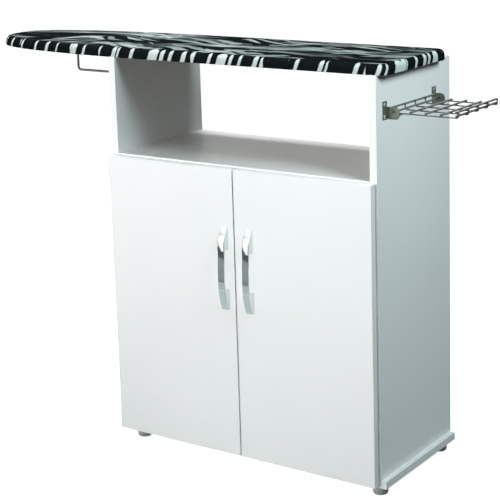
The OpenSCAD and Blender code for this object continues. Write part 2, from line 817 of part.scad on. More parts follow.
// Outline of the board d inside its cover's, from the square end round the nose and back
function board_outline(d) =
  let (half = board_w / 2 - d, end = board_end_x - d, nose = nose_l - d, r = max(end_radius - d, 1))
  concat(
    corner_arc(end - r, board_mid_y - half + r, r, -90),
    corner_arc(end - r, board_mid_y + half - r, r, 0),
    [for (i = [nose_steps : -1 : 0])
      [-taper_start - nose * (1 - nose_share(i)), board_mid_y + half * nose_half(nose_share(i))]],
    [for (i = [1 : nose_steps])
      [-taper_start - nose * (1 - nose_share(i)), board_mid_y - half * nose_half(nose_share(i))]]
  );

module board_slab(z, h, d) {
  translate([0, 0, z]) linear_extrude(h) polygon(board_outline(d));
}

// Slab with a rounded upper edge, d its inset from the cover's outline
module rounded_slab(bottom, top, d) {
  hull() {
    board_slab(bottom, slice_t, d + edge_inset(top - bottom));
    for (depth = edge_levels) if (depth < top - bottom - slice_t)
      board_slab(top - depth - slice_t, slice_t, d + edge_inset(depth));
  }
}

module board_core() {
  color("tan") difference() {
    board_slab(core_z, core_t, core_in);
    for (side = [-1, 1], y = assembly_screw_y)
      translate([side * (half_w - panel_t / 2), y, foam_z]) screw_hole(long_screw_d, long_screw_l);
    translate([-rail_reach, rail_y, core_z - flange_t_rail]) rotate([180, 0, 0]) rail_flange_holes();
  }
}

module foam_pad() {
  color("ivory") rounded_slab(foam_z, cloth_z, cloth_t + cloth_slack);
}

module cloth_cover() {
  color("dimgray") difference() {
    rounded_slab(core_z - cloth_t, board_top, 0);
    rounded_slab(core_z, cloth_z, cloth_t);
    board_slab(core_z - cloth_t - cut, cloth_t + 2 * cut, hem_w);
    // the hem stops beside the panels that carry the board
    for (side = ["left", "right"]) on_side(side)
      translate([inner_x - rest_gap, front_y - cut, core_z - cloth_t - cut])
        cube([panel_t + 2 * rest_gap, cabinet_d, cloth_t + cut]);
  }
}

// Wire staples along the turned-under cloth, clear of the side panels
staple_w = 10;
staple_wire = 0.8;
staple_leg = 6;

module staple() {
  translate([-staple_w / 2, -staple_wire / 2, -staple_wire]) cube([staple_w, staple_wire, staple_wire]);
  for (x = [-staple_w / 2, staple_w / 2 - staple_wire])
    translate([x, -staple_wire / 2, -staple_wire])
      cube([staple_wire, staple_wire, staple_wire + cloth_t + staple_leg]);
}

function clear_of_panels(x) = abs(abs(x) - half_w + panel_t / 2) > panel_t / 2 + staple_w;

module cover_staples() {
  line_y = board_w / 2 - hem_w / 2;
  straight_l = board_end_x - end_radius + taper_start;
  count = floor(straight_l / staple_pitch);
  nose_count = 8;
  // On each side of the square end's middle staple
  end_count = 2;
  end_pitch = staple_pitch * 0.8;
  color("silver") translate([0, board_mid_y, core_z - cloth_t]) {
    for (i = [0 : count], s = [-1, 1]) {
      x = -taper_start + i * staple_pitch;
      if (clear_of_panels(x)) translate([x, s * line_y, 0]) staple();
    }
    for (i = [-end_count : end_count])
      translate([board_end_x - hem_w / 2, i * end_pitch, 0]) rotate([0, 0, 90]) staple();
    for (i = [1 : nose_count], s = [-1, 1]) {
      share = i / (nose_count + 1);
      x = -taper_start - (nose_l - hem_w / 2) * (1 - share);
      slope = atan2(line_y * (nose_half(share + 0.02) - nose_half(share - 0.02)), 0.04 * nose_l);
      if (clear_of_panels(x))
        translate([x, s * line_y * nose_half(share), 0]) rotate([0, 0, s * slope]) staple();
    }
  }
}

// ---------------------------------------------------------------- clothes rail

module rail_flange_holes() {
  for (s = [-1, 1]) translate([s * rail_screw_out, 0, 0]) screw_hole(rail_screw_d, rail_screw_l, false);
}

// Round flange lying in the xy plane, with its collar above
module rail_flange() {
  difference() {
    union() {
      cylinder(h = flange_t_rail, r = flange_d / 2);
      cylinder(h = flange_t_rail + collar_h, r = rail_d / 2 + collar_wall);
    }
    translate([0, 0, 1]) cylinder(h = flange_t_rail + collar_h + cut, r = rail_d / 2 + fit, $fn = 32);
    for (s = [-1, 1]) translate([s * rail_screw_out, 0, -cut])
      cylinder(h = flange_t_rail + 2 * cut, r = rail_screw_d / 2 + fit, $fn = 24);
  }
}

module clothes_rail() {
  rail_end = 1 + fit;
  run = rail_reach - half_w - rail_end - rail_bend;
  rise = rail_drop - rail_end - rail_bend;
  color("silver") {
    translate([-half_w - rail_end, rail_y, rail_z]) rotate([0, -90, 0]) cylinder(h = run, r = rail_d / 2);
    translate([-rail_reach, rail_y, rail_z + rail_bend]) cylinder(h = rise, r = rail_d / 2);
    translate([rail_bend - rail_reach, rail_y, rail_z + rail_bend]) rotate([90, 0, 0]) rotate([0, 0, 180])
      rotate_extrude(angle = 90) translate([rail_bend, 0]) circle(r = rail_d / 2);
  }
}

module rail_side_flange() {
  color("silver") translate([-half_w, rail_y, rail_z]) rotate([90, 0, -90]) rail_flange();
}

module rail_board_flange() {
  color("silver") translate([-rail_reach, rail_y, cabinet_h]) rotate([180, 0, 0]) rail_flange();
}

module rail_screws() {
  color("silver") {
    translate([-half_w - flange_t_rail, rail_y, rail_z]) rotate([90, 0, -90])
      for (s = [-1, 1]) translate([s * rail_screw_out, 0, 0]) pan_screw(rail_screw_d, rail_screw_l);
    translate([-rail_reach, rail_y, cabinet_h - flange_t_rail]) rotate([180, 0, 0])
      for (s = [-1, 1]) translate([s * rail_screw_out, 0, 0]) pan_screw(rail_screw_d, rail_screw_l);
  }
}

// ---------------------------------------------------------------- iron rack

module rod_along_y(x, z, from, to, r) {
  translate([x, from, z]) rotate([-90, 0, 0]) cylinder(h = to - from, r = r, $fn = 32);
}

module rack_pivot_rod() {
  reach = rack_len / 2 + wire_r + ear_gap + bracket_t + pivot_end;
  color("gray") rod_along_y(rack_pivot_x, rack_z, rack_y - reach, rack_y + reach, rod_r);
}

module rack_long_rods() {
  pitch = rack_reach / (inner_rods + 1);
  color("gray")
    for (i = [1 : inner_rods + 1])
      rod_along_y(rack_pivot_x + i * pitch, rack_z, rack_front_y - rod_over, rack_rear_y + rod_over, rod_r);
}

module rack_rim_rods() {
  color("gray")
    for (x = [upright_in_x - nest, rack_outer_x])
      rod_along_y(x, rim_z, rack_front_y - rod_over, rack_rear_y + rod_over, rod_r);
}

// Wire bent up at both ends, cradling the pivot rod and the outer rod
module cross_wire() {
  upright_h = rim_z + 2 - rack_z;
  translate([rack_pivot_x, 0, wire_z]) rotate([0, 90, 0]) cylinder(h = rack_reach, r = wire_r, $fn = 24);
  for (x = [upright_in_x, upright_out_x])
    translate([x, 0, rack_z]) cylinder(h = upright_h, r = wire_r, $fn = 24);
  translate([rack_pivot_x, 0, rack_z]) rotate([90, 0, 0]) rotate([0, 0, 180]) wire_bend();
  translate([rack_outer_x, 0, rack_z]) rotate([90, 0, 0]) rotate([0, 0, 270]) wire_bend();
}

module wire_bend() {
  rotate_extrude(angle = 90, $fn = 32) translate([nest, 0]) circle(r = wire_r, $fn = 24);
}

module rack_cross_wires() {
  color("gray")
    for (i = [0 : wire_count - 1])
      translate([0, rack_front_y + i * rack_len / (wire_count - 1), 0]) cross_wire();
}

module bracket_screw_places() {
  for (s = [-1, 1], z = [rack_z + plate_above - 6, rack_z - plate_below + 6])
    translate([half_w + bracket_t, rack_y + s * (rack_y - ear_front_y + bracket_screw_y), z])
      rotate([0, 90, 0]) children();
}

// Angle bracket: a plate on the panel, an ear with the pivot hole and a tab that stops the rack level
module rack_bracket() {
  tab_top = wire_z - wire_r - rest_gap;
  difference() {
    union() {
      translate([half_w, ear_front_y - plate_w, rack_z - plate_below])
        cube([bracket_t, plate_w, plate_above + plate_below]);
      translate([0, ear_front_y, 0]) rotate([90, 0, 0]) linear_extrude(bracket_t) ear_outline();
      translate([tab_x, ear_front_y - bracket_t, tab_top - bracket_t])
        cube([tab_w, ear_gap + 2 * wire_r + bracket_t + 2, bracket_t]);
    }
    translate([rack_pivot_x, ear_front_y + cut, rack_z]) rotate([90, 0, 0])
      cylinder(h = bracket_t + 2 * cut, r = rod_r + fit, $fn = 32);
    bracket_screw_places() translate([0, 0, -bracket_t - cut])
      cylinder(h = bracket_t + 2 * cut, r = bracket_screw_d / 2 + fit, $fn = 24);
  }
}

module ear_outline() {
  low = rack_z - ear_below;
  high = rack_z + ear_above;
  translate([half_w, low]) square([ear_x - half_w, high - low]);
  translate([ear_x, low + ear_r]) square([ear_r, high - low - 2 * ear_r]);
  for (z = [low + ear_r, high - ear_r]) translate([ear_x, z]) circle(r = ear_r);
}

module rack_bracket_front() color("darkgray") rack_bracket();
module rack_bracket_rear() color("darkgray")
  translate([0, 2 * rack_y, 0]) mirror([0, 1, 0]) rack_bracket();

module rack_bracket_screws() {
  color("dimgray") bracket_screw_places() pan_screw(bracket_screw_d, bracket_screw_in);
}

// ---------------------------------------------------------------- nodes

left_side_panel();
right_side_panel();
base_panel();
niche_shelf();
loose_shelf();
back_sheet();
shelf_pins();
cam_nuts();
cam_bolts();
base_screws();
back_sheet_nails();
foot_front_left();
foot_front_right();
foot_rear_left();
foot_rear_right();
foot_screws();
board_core();
foam_pad();
cloth_cover();
cover_staples();
board_screws();
clothes_rail();
rail_side_flange();
rail_board_flange();
rail_screws();
rack_bracket_front();
rack_bracket_rear();
rack_bracket_screws();
rack_pivot_rod();
rack_long_rods();
rack_rim_rods();
rack_cross_wires();
hinge_plate_left_upper();
hinge_plate_left_lower();
hinge_plate_right_upper();
hinge_plate_right_lower();
hinge_arm_left_upper();
hinge_arm_left_lower();
hinge_arm_right_upper();
hinge_arm_right_lower();
hinge_plate_screws();
hinge_arm_screws();
door_buffers();
left_door();
left_handle();
left_handle_screws();
left_hinge_pins();
left_cup_screws();
hinge_cup_left_upper();
hinge_cup_left_lower();
right_door();
right_handle();
right_handle_screws();
right_hinge_pins();
right_cup_screws();
hinge_cup_right_upper();
hinge_cup_right_lower();
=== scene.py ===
import json
import math

import bmesh
import bpy
import numpy as np
from mathutils import Matrix, Vector, noise

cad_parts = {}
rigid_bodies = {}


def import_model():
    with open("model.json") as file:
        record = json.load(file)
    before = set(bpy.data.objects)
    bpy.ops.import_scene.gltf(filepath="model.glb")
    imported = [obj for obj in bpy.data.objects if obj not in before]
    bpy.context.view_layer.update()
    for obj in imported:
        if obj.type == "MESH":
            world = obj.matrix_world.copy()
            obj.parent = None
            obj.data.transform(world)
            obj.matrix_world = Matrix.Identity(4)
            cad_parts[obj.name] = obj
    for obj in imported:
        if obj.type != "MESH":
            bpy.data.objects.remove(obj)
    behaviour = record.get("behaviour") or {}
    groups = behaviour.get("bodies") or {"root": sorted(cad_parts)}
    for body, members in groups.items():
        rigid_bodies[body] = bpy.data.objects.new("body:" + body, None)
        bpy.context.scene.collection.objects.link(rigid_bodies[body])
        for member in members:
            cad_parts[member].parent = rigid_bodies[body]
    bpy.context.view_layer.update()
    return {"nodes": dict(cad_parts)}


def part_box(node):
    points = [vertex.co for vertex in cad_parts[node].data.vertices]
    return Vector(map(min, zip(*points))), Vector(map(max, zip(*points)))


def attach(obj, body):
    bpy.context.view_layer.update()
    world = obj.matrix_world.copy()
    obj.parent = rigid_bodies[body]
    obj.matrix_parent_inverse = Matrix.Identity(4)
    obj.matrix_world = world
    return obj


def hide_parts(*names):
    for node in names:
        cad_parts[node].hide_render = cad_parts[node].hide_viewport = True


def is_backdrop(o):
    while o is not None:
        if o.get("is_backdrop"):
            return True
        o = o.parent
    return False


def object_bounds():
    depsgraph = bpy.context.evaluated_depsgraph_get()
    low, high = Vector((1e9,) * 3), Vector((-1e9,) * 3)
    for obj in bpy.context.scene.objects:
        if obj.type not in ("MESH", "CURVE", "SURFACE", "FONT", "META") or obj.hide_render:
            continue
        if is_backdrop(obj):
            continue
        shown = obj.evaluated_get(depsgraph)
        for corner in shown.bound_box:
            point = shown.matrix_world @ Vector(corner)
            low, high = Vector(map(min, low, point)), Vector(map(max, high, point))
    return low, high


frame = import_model()
nodes = frame["nodes"]

# ---------------------------------------------------------------- camera
# A long lens a little above the board, in front of the cupboard's right half. The lens is shifted, as
# for a picture of furniture whose upright edges should stay nearly upright.
CAMERA_PLACE = (1.6428, -2.4283, 1.2160)
CAMERA_YAW, CAMERA_PITCH, CAMERA_ROLL = math.radians(33.605), math.radians(11.183), math.radians(1.432)
CAMERA_LENS_MM = 105.95
CAMERA_SHIFT = (-0.08, -0.21)

forward = Vector((
    -math.sin(CAMERA_YAW) * math.cos(CAMERA_PITCH),
    math.cos(CAMERA_YAW) * math.cos(CAMERA_PITCH),
    -math.sin(CAMERA_PITCH),
))
level_right = Vector((math.cos(CAMERA_YAW), math.sin(CAMERA_YAW), 0))
level_down = forward.cross(level_right)
right = math.cos(CAMERA_ROLL) * level_right + math.sin(CAMERA_ROLL) * level_down
down = -math.sin(CAMERA_ROLL) * level_right + math.cos(CAMERA_ROLL) * level_down
camera_data = bpy.data.cameras.new("camera")
camera_data.lens = CAMERA_LENS_MM
camera_data.sensor_width = 36
camera_data.shift_x, camera_data.shift_y = CAMERA_SHIFT
camera = bpy.data.objects.new("camera", camera_data)
bpy.context.scene.collection.objects.link(camera)
turn = Matrix((right, -down, -forward)).transposed().to_4x4()
camera.matrix_world = Matrix.Translation(CAMERA_PLACE) @ turn
bpy.context.scene.camera = camera

# ---------------------------------------------------------------- studio
# A white floor under a white sky. A wide soft light in front and one high on the right light the panels,
# with weaker ones above and behind. What polished metal mirrors, a bright ceiling over a dark rim, the
# floor and a white card, has values of its own.
WHITE = (1, 1, 1, 1)
SKY_TOWARDS, SKY_SPAN = (-0.52, -0.74, 0.42), (-0.35, 0.85)
SKY_GLOW, SKY_DIM_TINT = (0.04, 0.10), (0.78, 0.98, 1.0, 1)
SKY_SEEN = 1.0
CEILING_RISE, CEILING_SHINE = (0.05, 0.36), (0.08, 1.4)
FLOOR_HALF = 14.0
FLOOR_BOUNCE, FLOOR_SEEN = (0.14, 0.15, 0.15, 1), (0.8, 0.8, 0.8, 1)
SEEN_SPAN, SEEN_GLOW = (1.5, 4.0), (0.9, 1.0)
# The mirrored floor's brightness at shares of SHINE_FAR metres from the cupboard, and its tint
SHINE_FAR = 8.0
FLOOR_SHINE = ((0.0, 0.48), (0.156, 0.46), (0.172, 0.15), (0.2, 0.28), (0.356, 0.36), (0.375, 0.07))
SHINE_TINT = (0.98, 1.09, 1.08, 1)

bpy.context.scene.view_settings.view_transform = "Standard"


def place(tree, kind, inputs=None, **settings):
    """A node of that kind with its settings. Each input is a value, or the socket that feeds it."""
    node = tree.nodes.new(kind)
    for name, value in settings.items():
        setattr(node, name, value)
    for key, value in (inputs or {}).items():
        if isinstance(value, bpy.types.NodeSocket):
            tree.links.new(value, node.inputs[key])
        else:
            node.inputs[key].default_value = value
    return node


def combine(tree, operation, *values):
    """The result of a Math node on values or sockets."""
    return place(tree, "ShaderNodeMath", dict(enumerate(values)), operation=operation).outputs[0]


def blend(tree, share, under, over):
    """A colour laid over another by a share from 0 to 1."""
    return place(tree, "ShaderNodeMix", {"Factor": share, 6: under, 7: over}, data_type="RGBA").outputs[2]


def remap(tree, value, from_span, to_span=(0, 1)):
    """The value carried from one span to another, and held at its ends."""
    (from_low, from_high), (to_low, to_high) = from_span, to_span
    return place(tree, "ShaderNodeMapRange", {
        "Value": value, "From Min": from_low, "From Max": from_high, "To Min": to_low, "To Max": to_high,
    }).outputs[0]


def soft_light(name, spot, aim, size, watts, tint=(1, 1, 1), spread=180):
    """A rectangular lamp, turned from its spot to its aim, that is neither seen nor mirrored."""
    data = bpy.data.lights.new(name, "AREA")
    data.shape = "RECTANGLE"
    data.spread = math.radians(spread)
    data.size, data.size_y = size
    data.energy = watts
    data.color = tint
    lamp = bpy.data.objects.new(name, data)
    lamp.location = spot
    lamp.rotation_euler = (Vector(aim) - Vector(spot)).to_track_quat("-Z", "Y").to_euler()
    lamp.visible_camera = False
    lamp.visible_glossy = False
    bpy.context.scene.collection.objects.link(lamp)
    return lamp


# A share of the key light is a lamp of its own, the only part of it that the handles shade
KEY_WATTS, KEY_SHADE = 18.7, 0.22
for name, watts in (("key", KEY_WATTS * (1 - KEY_SHADE)), ("key_shade", KEY_WATTS * KEY_SHADE)):
    soft_light(name, spot=(-0.8, -3.0, 0.8), aim=(0, 0, 0.74), size=(2.6, 0.8), watts=watts, spread=70)
soft_light(
    "side", spot=(1.3, -0.35, 1.75), aim=(0.32, 0.02, 0.6), size=(0.7, 0.6), watts=5.5,
    tint=(0.85, 0.985, 1.0), spread=80,
)
soft_light("above", spot=(-0.45, 0.0, 2.2), aim=(-0.45, 0, 0.8), size=(1.2, 0.4), watts=5, spread=60)
soft_light("behind", spot=(-0.6, 3.0, 1.8), aim=(0, 0, 0.4), size=(1.6, 1.2), watts=5)
# A white card that lights nothing, but is mirrored by the handles
card = soft_light("card", spot=(-2.25, -3.2, 0.79), aim=(-2.25, 0, 0.79), size=(2.6, 1.42), watts=17)
card.visible_glossy = True
card.visible_diffuse = False

world = bpy.data.worlds.new("studio")
bpy.context.scene.world = world
world.use_nodes = True
sky = world.node_tree
sky.nodes.clear()
direction = place(sky, "ShaderNodeTexCoord").outputs["Generated"]
facing = place(sky, "ShaderNodeVectorMath", {0: direction, 1: SKY_TOWARDS}, operation="DOT_PRODUCT")
level = remap(sky, facing.outputs[1], SKY_SPAN)
tint = blend(sky, level, SKY_DIM_TINT, WHITE)
lit = place(sky, "ShaderNodeBackground", {"Color": tint, "Strength": remap(sky, level, (0, 1), SKY_GLOW)})
# Polished metal mirrors a bright ceiling over a dark rim
rise = place(sky, "ShaderNodeSeparateXYZ", {0: direction}).outputs[2]
ceiling = remap(sky, rise, CEILING_RISE, CEILING_SHINE)
mirrored = place(sky, "ShaderNodeBackground", {"Color": WHITE, "Strength": ceiling})
ray = place(sky, "ShaderNodeLightPath").outputs
lit = place(sky, "ShaderNodeMixShader", {0: ray["Is Glossy Ray"], 1: lit.outputs[0], 2: mirrored.outputs[0]})
seen = place(sky, "ShaderNodeBackground", {"Color": WHITE, "Strength": SKY_SEEN})
either = place(sky, "ShaderNodeMixShader", {0: ray["Is Camera Ray"], 1: lit.outputs[0], 2: seen.outputs[0]})
place(sky, "ShaderNodeOutputWorld", {"Surface": either.outputs[0]})

floor_mesh = bpy.data.meshes.new("floor")
floor_mesh.from_pydata(
    [(x * FLOOR_HALF, y * FLOOR_HALF, 0) for x, y in ((-1, -1), (1, -1), (1, 1), (-1, 1))], [], [(0, 1, 2, 3)]
)
floor = bpy.data.objects.new("floor", floor_mesh)
bpy.context.scene.collection.objects.link(floor)
floor_paint = bpy.data.materials.new("floor_paint")
floor_paint.use_nodes = True
paint = floor_paint.node_tree
floor_shader = paint.nodes["Principled BSDF"]
ray = place(paint, "ShaderNodeLightPath").outputs
eye, mirror = ray["Is Camera Ray"], ray["Is Glossy Ray"]
paint.links.new(blend(paint, eye, FLOOR_BOUNCE, FLOOR_SEEN), floor_shader.inputs["Base Color"])
floor_shader.inputs["Roughness"].default_value = 1.0
floor_shader.inputs["Specular IOR Level"].default_value = 0.0
# In polished metal the floor is light close by, grey further off and dark in the distance
away = place(paint, "ShaderNodeTexCoord").outputs["Object"]
away = place(paint, "ShaderNodeVectorMath", {0: away}, operation="LENGTH").outputs[1]
shades = place(paint, "ShaderNodeValToRGB", {0: combine(paint, "DIVIDE", away, SHINE_FAR)})
while len(shades.color_ramp.elements) < len(FLOOR_SHINE):
    shades.color_ramp.elements.new(0.5)
for stop, (share, value) in zip(shades.color_ramp.elements, FLOOR_SHINE):
    stop.position = share
    stop.color = (value, value, value, 1)
shine = combine(paint, "MULTIPLY", mirror, shades.outputs[0])
paint.links.new(blend(paint, mirror, WHITE, SHINE_TINT), floor_shader.inputs["Emission Color"])
# To the eye it stays white as far as it goes, also where the lights don't reach it
white = combine(paint, "MULTIPLY", eye, remap(paint, away, SEEN_SPAN, SEEN_GLOW))
glow = combine(paint, "MAXIMUM", white, shine)
paint.links.new(glow, floor_shader.inputs["Emission Strength"])
floor_mesh.materials.append(floor_paint)
floor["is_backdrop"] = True

# ---------------------------------------------------------------- carcass and doors
# Chipboard panels 15 mm thick, faced with smooth satin white laminate and edged with white tape. They
# are pressed flat and cut square, with the arris of the tape eased by a fraction of a millimetre.
PANEL_ARRIS = 0.0006
ARRIS_FROM_ANGLE = math.radians(35)
SAME_POINT = 1e-6
PANEL_BODIES = {
    "left_side_panel": "cabinet", "right_side_panel": "cabinet", "base_panel": "cabinet",
    "niche_shelf": "cabinet", "loose_shelf": "cabinet", "left_door": "left_leaf", "right_door": "right_leaf",
}


def named_group(name, inputs, outputs, tree_kind="ShaderNodeTree"):
    """An empty node group with those inputs (name: type and value) and outputs (name: type)."""
    group = bpy.data.node_groups.new(name, tree_kind)
    for label, (kind, value) in inputs.items():
        socket = group.interface.new_socket(label, in_out="INPUT", socket_type="NodeSocket" + kind)
        if value is not None:
            socket.default_value = value
    for label, kind in outputs.items():
        group.interface.new_socket(label, in_out="OUTPUT", socket_type="NodeSocket" + kind)
    return group


# Soft unevenness that every finish has: a value that drifts between two limits, and a height
DRIFT_SPAN = (0.3, 0.7)
uneven = named_group(
    "uneven",
    {
        "Scale": ("Float", 8.0), "Stretch": ("Vector", (1, 1, 1)), "Low": ("Float", 0.0),
        "High": ("Float", 1.0),
    },
    {"Value": "Float", "Height": "Float"},
)
given = place(uneven, "NodeGroupInput").outputs
spot = place(uneven, "ShaderNodeTexCoord").outputs["Object"]
spot = place(uneven, "ShaderNodeVectorMath", {0: spot, 1: given["Stretch"]}, operation="MULTIPLY")
drift = place(uneven, "ShaderNodeTexNoise", {
    "Vector": spot.outputs[0], "Scale": given["Scale"], "Detail": 4.0,
}).outputs[0]
drifting = remap(uneven, drift, DRIFT_SPAN, (given["Low"], given["High"]))
place(uneven, "NodeGroupOutput", {"Value": drifting, "Height": drift})


def use_group(tree, group, inputs):
    """The outputs of a group node with those inputs."""
    return place(tree, "ShaderNodeGroup", inputs, node_tree=group).outputs


def new_finish(
    name, tones, tone_scale, rough, rough_scale, bump_scale, bump_depth, bump_stretch=(1, 1, 1), **plain
):
    """A material whose colour drifts between two tones and whose roughness drifts between two limits.

    bump_depth is in metres, and a scale is in waves per metre. The plain values are set on the shader's
    own sockets.
    """
    material = bpy.data.materials.new(name)
    material.use_nodes = True
    tree = material.node_tree
    shader = tree.nodes["Principled BSDF"]
    tone = use_group(tree, uneven, {"Scale": tone_scale})["Value"]
    tree.links.new(blend(tree, tone, (*tones[0], 1), (*tones[1], 1)), shader.inputs["Base Color"])
    gloss = use_group(tree, uneven, {"Scale": rough_scale, "Low": rough[0], "High": rough[1]})
    tree.links.new(gloss["Value"], shader.inputs["Roughness"])
    grain = use_group(tree, uneven, {"Scale": bump_scale, "Stretch": bump_stretch})["Height"]
    relief = place(tree, "ShaderNodeBump", {"Height": grain, "Distance": bump_depth, "Strength": 1.0})
    tree.links.new(relief.outputs[0], shader.inputs["Normal"])
    for key, value in plain.items():
        shader.inputs[key.replace("_", " ")].default_value = value
    return material


def new_piece(name, mesh, body, material):
    """A piece in the row's own frame that rides on a body."""
    piece = bpy.data.objects.new(name, mesh)
    bpy.context.scene.collection.objects.link(piece)
    mesh.materials.clear()
    mesh.materials.append(material)
    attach(piece, body)
    return piece


def modified(mesh, kind, inputs=None, **settings):
    """The mesh with one modifier applied. inputs are those of the modifier's node tree, by name."""
    holder = bpy.data.objects.new("holder", mesh)
    bpy.context.scene.collection.objects.link(holder)
    modifier = holder.modifiers.new("modifier", kind)
    for name, value in settings.items():
        setattr(modifier, name, value)
    if inputs:
        for socket in modifier.node_group.interface.items_tree:
            if socket.in_out == "INPUT" and socket.name in inputs:
                modifier[socket.identifier] = inputs[socket.name]
    result = bpy.data.meshes.new_from_object(holder.evaluated_get(bpy.context.evaluated_depsgraph_get()))
    holder.modifiers.remove(modifier)
    bpy.data.objects.remove(holder)
    return result


def clean_solid(node, flat_angle):
    """A CAD node's mesh for editing, with the triangles of each flat face joined to one face."""
    work = bmesh.new()
    work.from_mesh(nodes[node].data)
    bmesh.ops.remove_doubles(work, verts=work.verts, dist=SAME_POINT)
    bmesh.ops.dissolve_limit(work, angle_limit=flat_angle, verts=work.verts, edges=work.edges)
    return work


def eased_copy(node, arris):
    """A copy of a CAD node's mesh with its sharp edges rounded by arris."""
    work = clean_solid(node, math.radians(1))
    mesh = bpy.data.meshes.new(node + "_eased")
    work.to_mesh(mesh)
    work.free()
    return modified(
        mesh, "BEVEL", width=arris, segments=2, limit_method="ANGLE", angle_limit=ARRIS_FROM_ANGLE,
        harden_normals=True,
    )


def repaint(node, material):
    """Gives a CAD node that is shown as it is its finish."""
    mesh = nodes[node].data
    mesh.materials.clear()
    mesh.materials.append(material)


laminate = new_finish(
    "satin_white_laminate", tones=((0.80, 0.82, 0.82), (0.84, 0.855, 0.855)), tone_scale=2.5,
    rough=(0.30, 0.40), rough_scale=30, bump_scale=900, bump_depth=0.00003, Specular_IOR_Level=0.45,
)
for node, body in PANEL_BODIES.items():
    panel = new_piece(node + "_laminated", eased_copy(node, PANEL_ARRIS), body, laminate)
    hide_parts(node)

# ---------------------------------------------------------------- back sheet and bumpers
# A thin hardboard sheet, painted white on the side towards the doors and raw behind, nailed into rebates.
# The doors close on four soft clear bumpers.
BACK_PAINT = (0.74, 0.75, 0.73, 1)
hardboard = new_finish(
    "hardboard", tones=((0.33, 0.22, 0.13), (0.42, 0.29, 0.18)), tone_scale=14, rough=(0.6, 0.75),
    rough_scale=60, bump_scale=700, bump_depth=0.00012,
)
tree = hardboard.node_tree
shader = tree.nodes["Principled BSDF"]
sheet_low, sheet_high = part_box("back_sheet")
raw_color = shader.inputs["Base Color"].links[0].from_socket
spot = place(tree, "ShaderNodeTexCoord").outputs["Object"]
depth = place(tree, "ShaderNodeSeparateXYZ", {0: spot}).outputs[1]
painted = combine(tree, "LESS_THAN", depth, (sheet_low[1] + sheet_high[1]) / 2)
tree.links.new(blend(tree, painted, raw_color, BACK_PAINT), shader.inputs["Base Color"])
repaint("back_sheet", hardboard)
bumper = new_finish(
    "clear_bumper", tones=((0.72, 0.74, 0.73), (0.78, 0.8, 0.79)), tone_scale=60, rough=(0.25, 0.35),
    rough_scale=200, bump_scale=400, bump_depth=0.00002, Transmission_Weight=0.35,
)
repaint("door_buffers", bumper)

# ---------------------------------------------------------------- glides
# Four round moulded glides in matt grey plastic, on which the cupboard stands. Each is screwed up into
# the base board through its middle.
glide_plastic = new_finish(
    "grey_plastic", tones=((0.30, 0.33, 0.32), (0.36, 0.39, 0.38)), tone_scale=50, rough=(0.42, 0.55),
    rough_scale=120, bump_scale=2400, bump_depth=0.00006,
)
for node in ("foot_front_left", "foot_front_right", "foot_rear_left", "foot_rear_right"):
    repaint(node, glide_plastic)

# ---------------------------------------------------------------- fasteners and hinges
# Bright zinc-plated screws, pins, nails and staples, and concealed hinges whose plates, arms and cups
# are pressed from nickel-plated steel.
zinc = new_finish(
    "bright_zinc", tones=((0.58, 0.59, 0.57), (0.7, 0.7, 0.68)), tone_scale=120, rough=(0.24, 0.4),
    rough_scale=300, bump_scale=1500, bump_depth=0.00002, Metallic=1.0,
)
for node in (
    "shelf_pins", "cam_nuts", "cam_bolts", "base_screws", "back_sheet_nails", "foot_screws", "cover_staples",
    "board_screws", "rail_screws", "rack_bracket_screws", "hinge_plate_screws", "hinge_arm_screws",
    "left_handle_screws", "right_handle_screws", "left_hinge_pins", "right_hinge_pins", "left_cup_screws",
    "right_cup_screws",
):
    repaint(node, zinc)
nickel = new_finish(
    "nickel_plate", tones=((0.56, 0.55, 0.53), (0.66, 0.65, 0.62)), tone_scale=40, rough=(0.2, 0.32),
    rough_scale=90, bump_scale=500, bump_depth=0.00002, Metallic=1.0,
)
for node in nodes:
    if node.startswith(("hinge_plate_", "hinge_arm_", "hinge_cup_")) and not node.endswith("screws"):
        repaint(node, nickel)

# ---------------------------------------------------------------- handles
# Bow handles, each cast in one piece with its two solid feet, slightly crowned across their fronts,
# polished and chrome plated.
HANDLE_CROWN = 0.0004
HANDLE_ROUND = 0.0007
FOOT_DEPTH = 0.0006
SHARP_FROM_ANGLE = math.radians(28)
DOOR_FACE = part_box("left_door")[0][1]
satin_chrome = new_finish(
    "satin_chrome", tones=((0.68, 0.73, 0.72), (0.74, 0.79, 0.78)), tone_scale=30, rough=(0.05, 0.09),
    rough_scale=60, bump_scale=240, bump_depth=0.00002, bump_stretch=(1, 1, 0.08), Metallic=1.0,
)


def side_outline(node):
    """The outline of a CAD node's flat left side, in order round it."""
    work = clean_solid(node, math.radians(0.1))
    flat = max((f for f in work.faces if f.normal.x < -0.99), key=lambda f: f.calc_area())
    line = np.array([v.co[1:] for v in flat.verts])
    work.free()
    return line


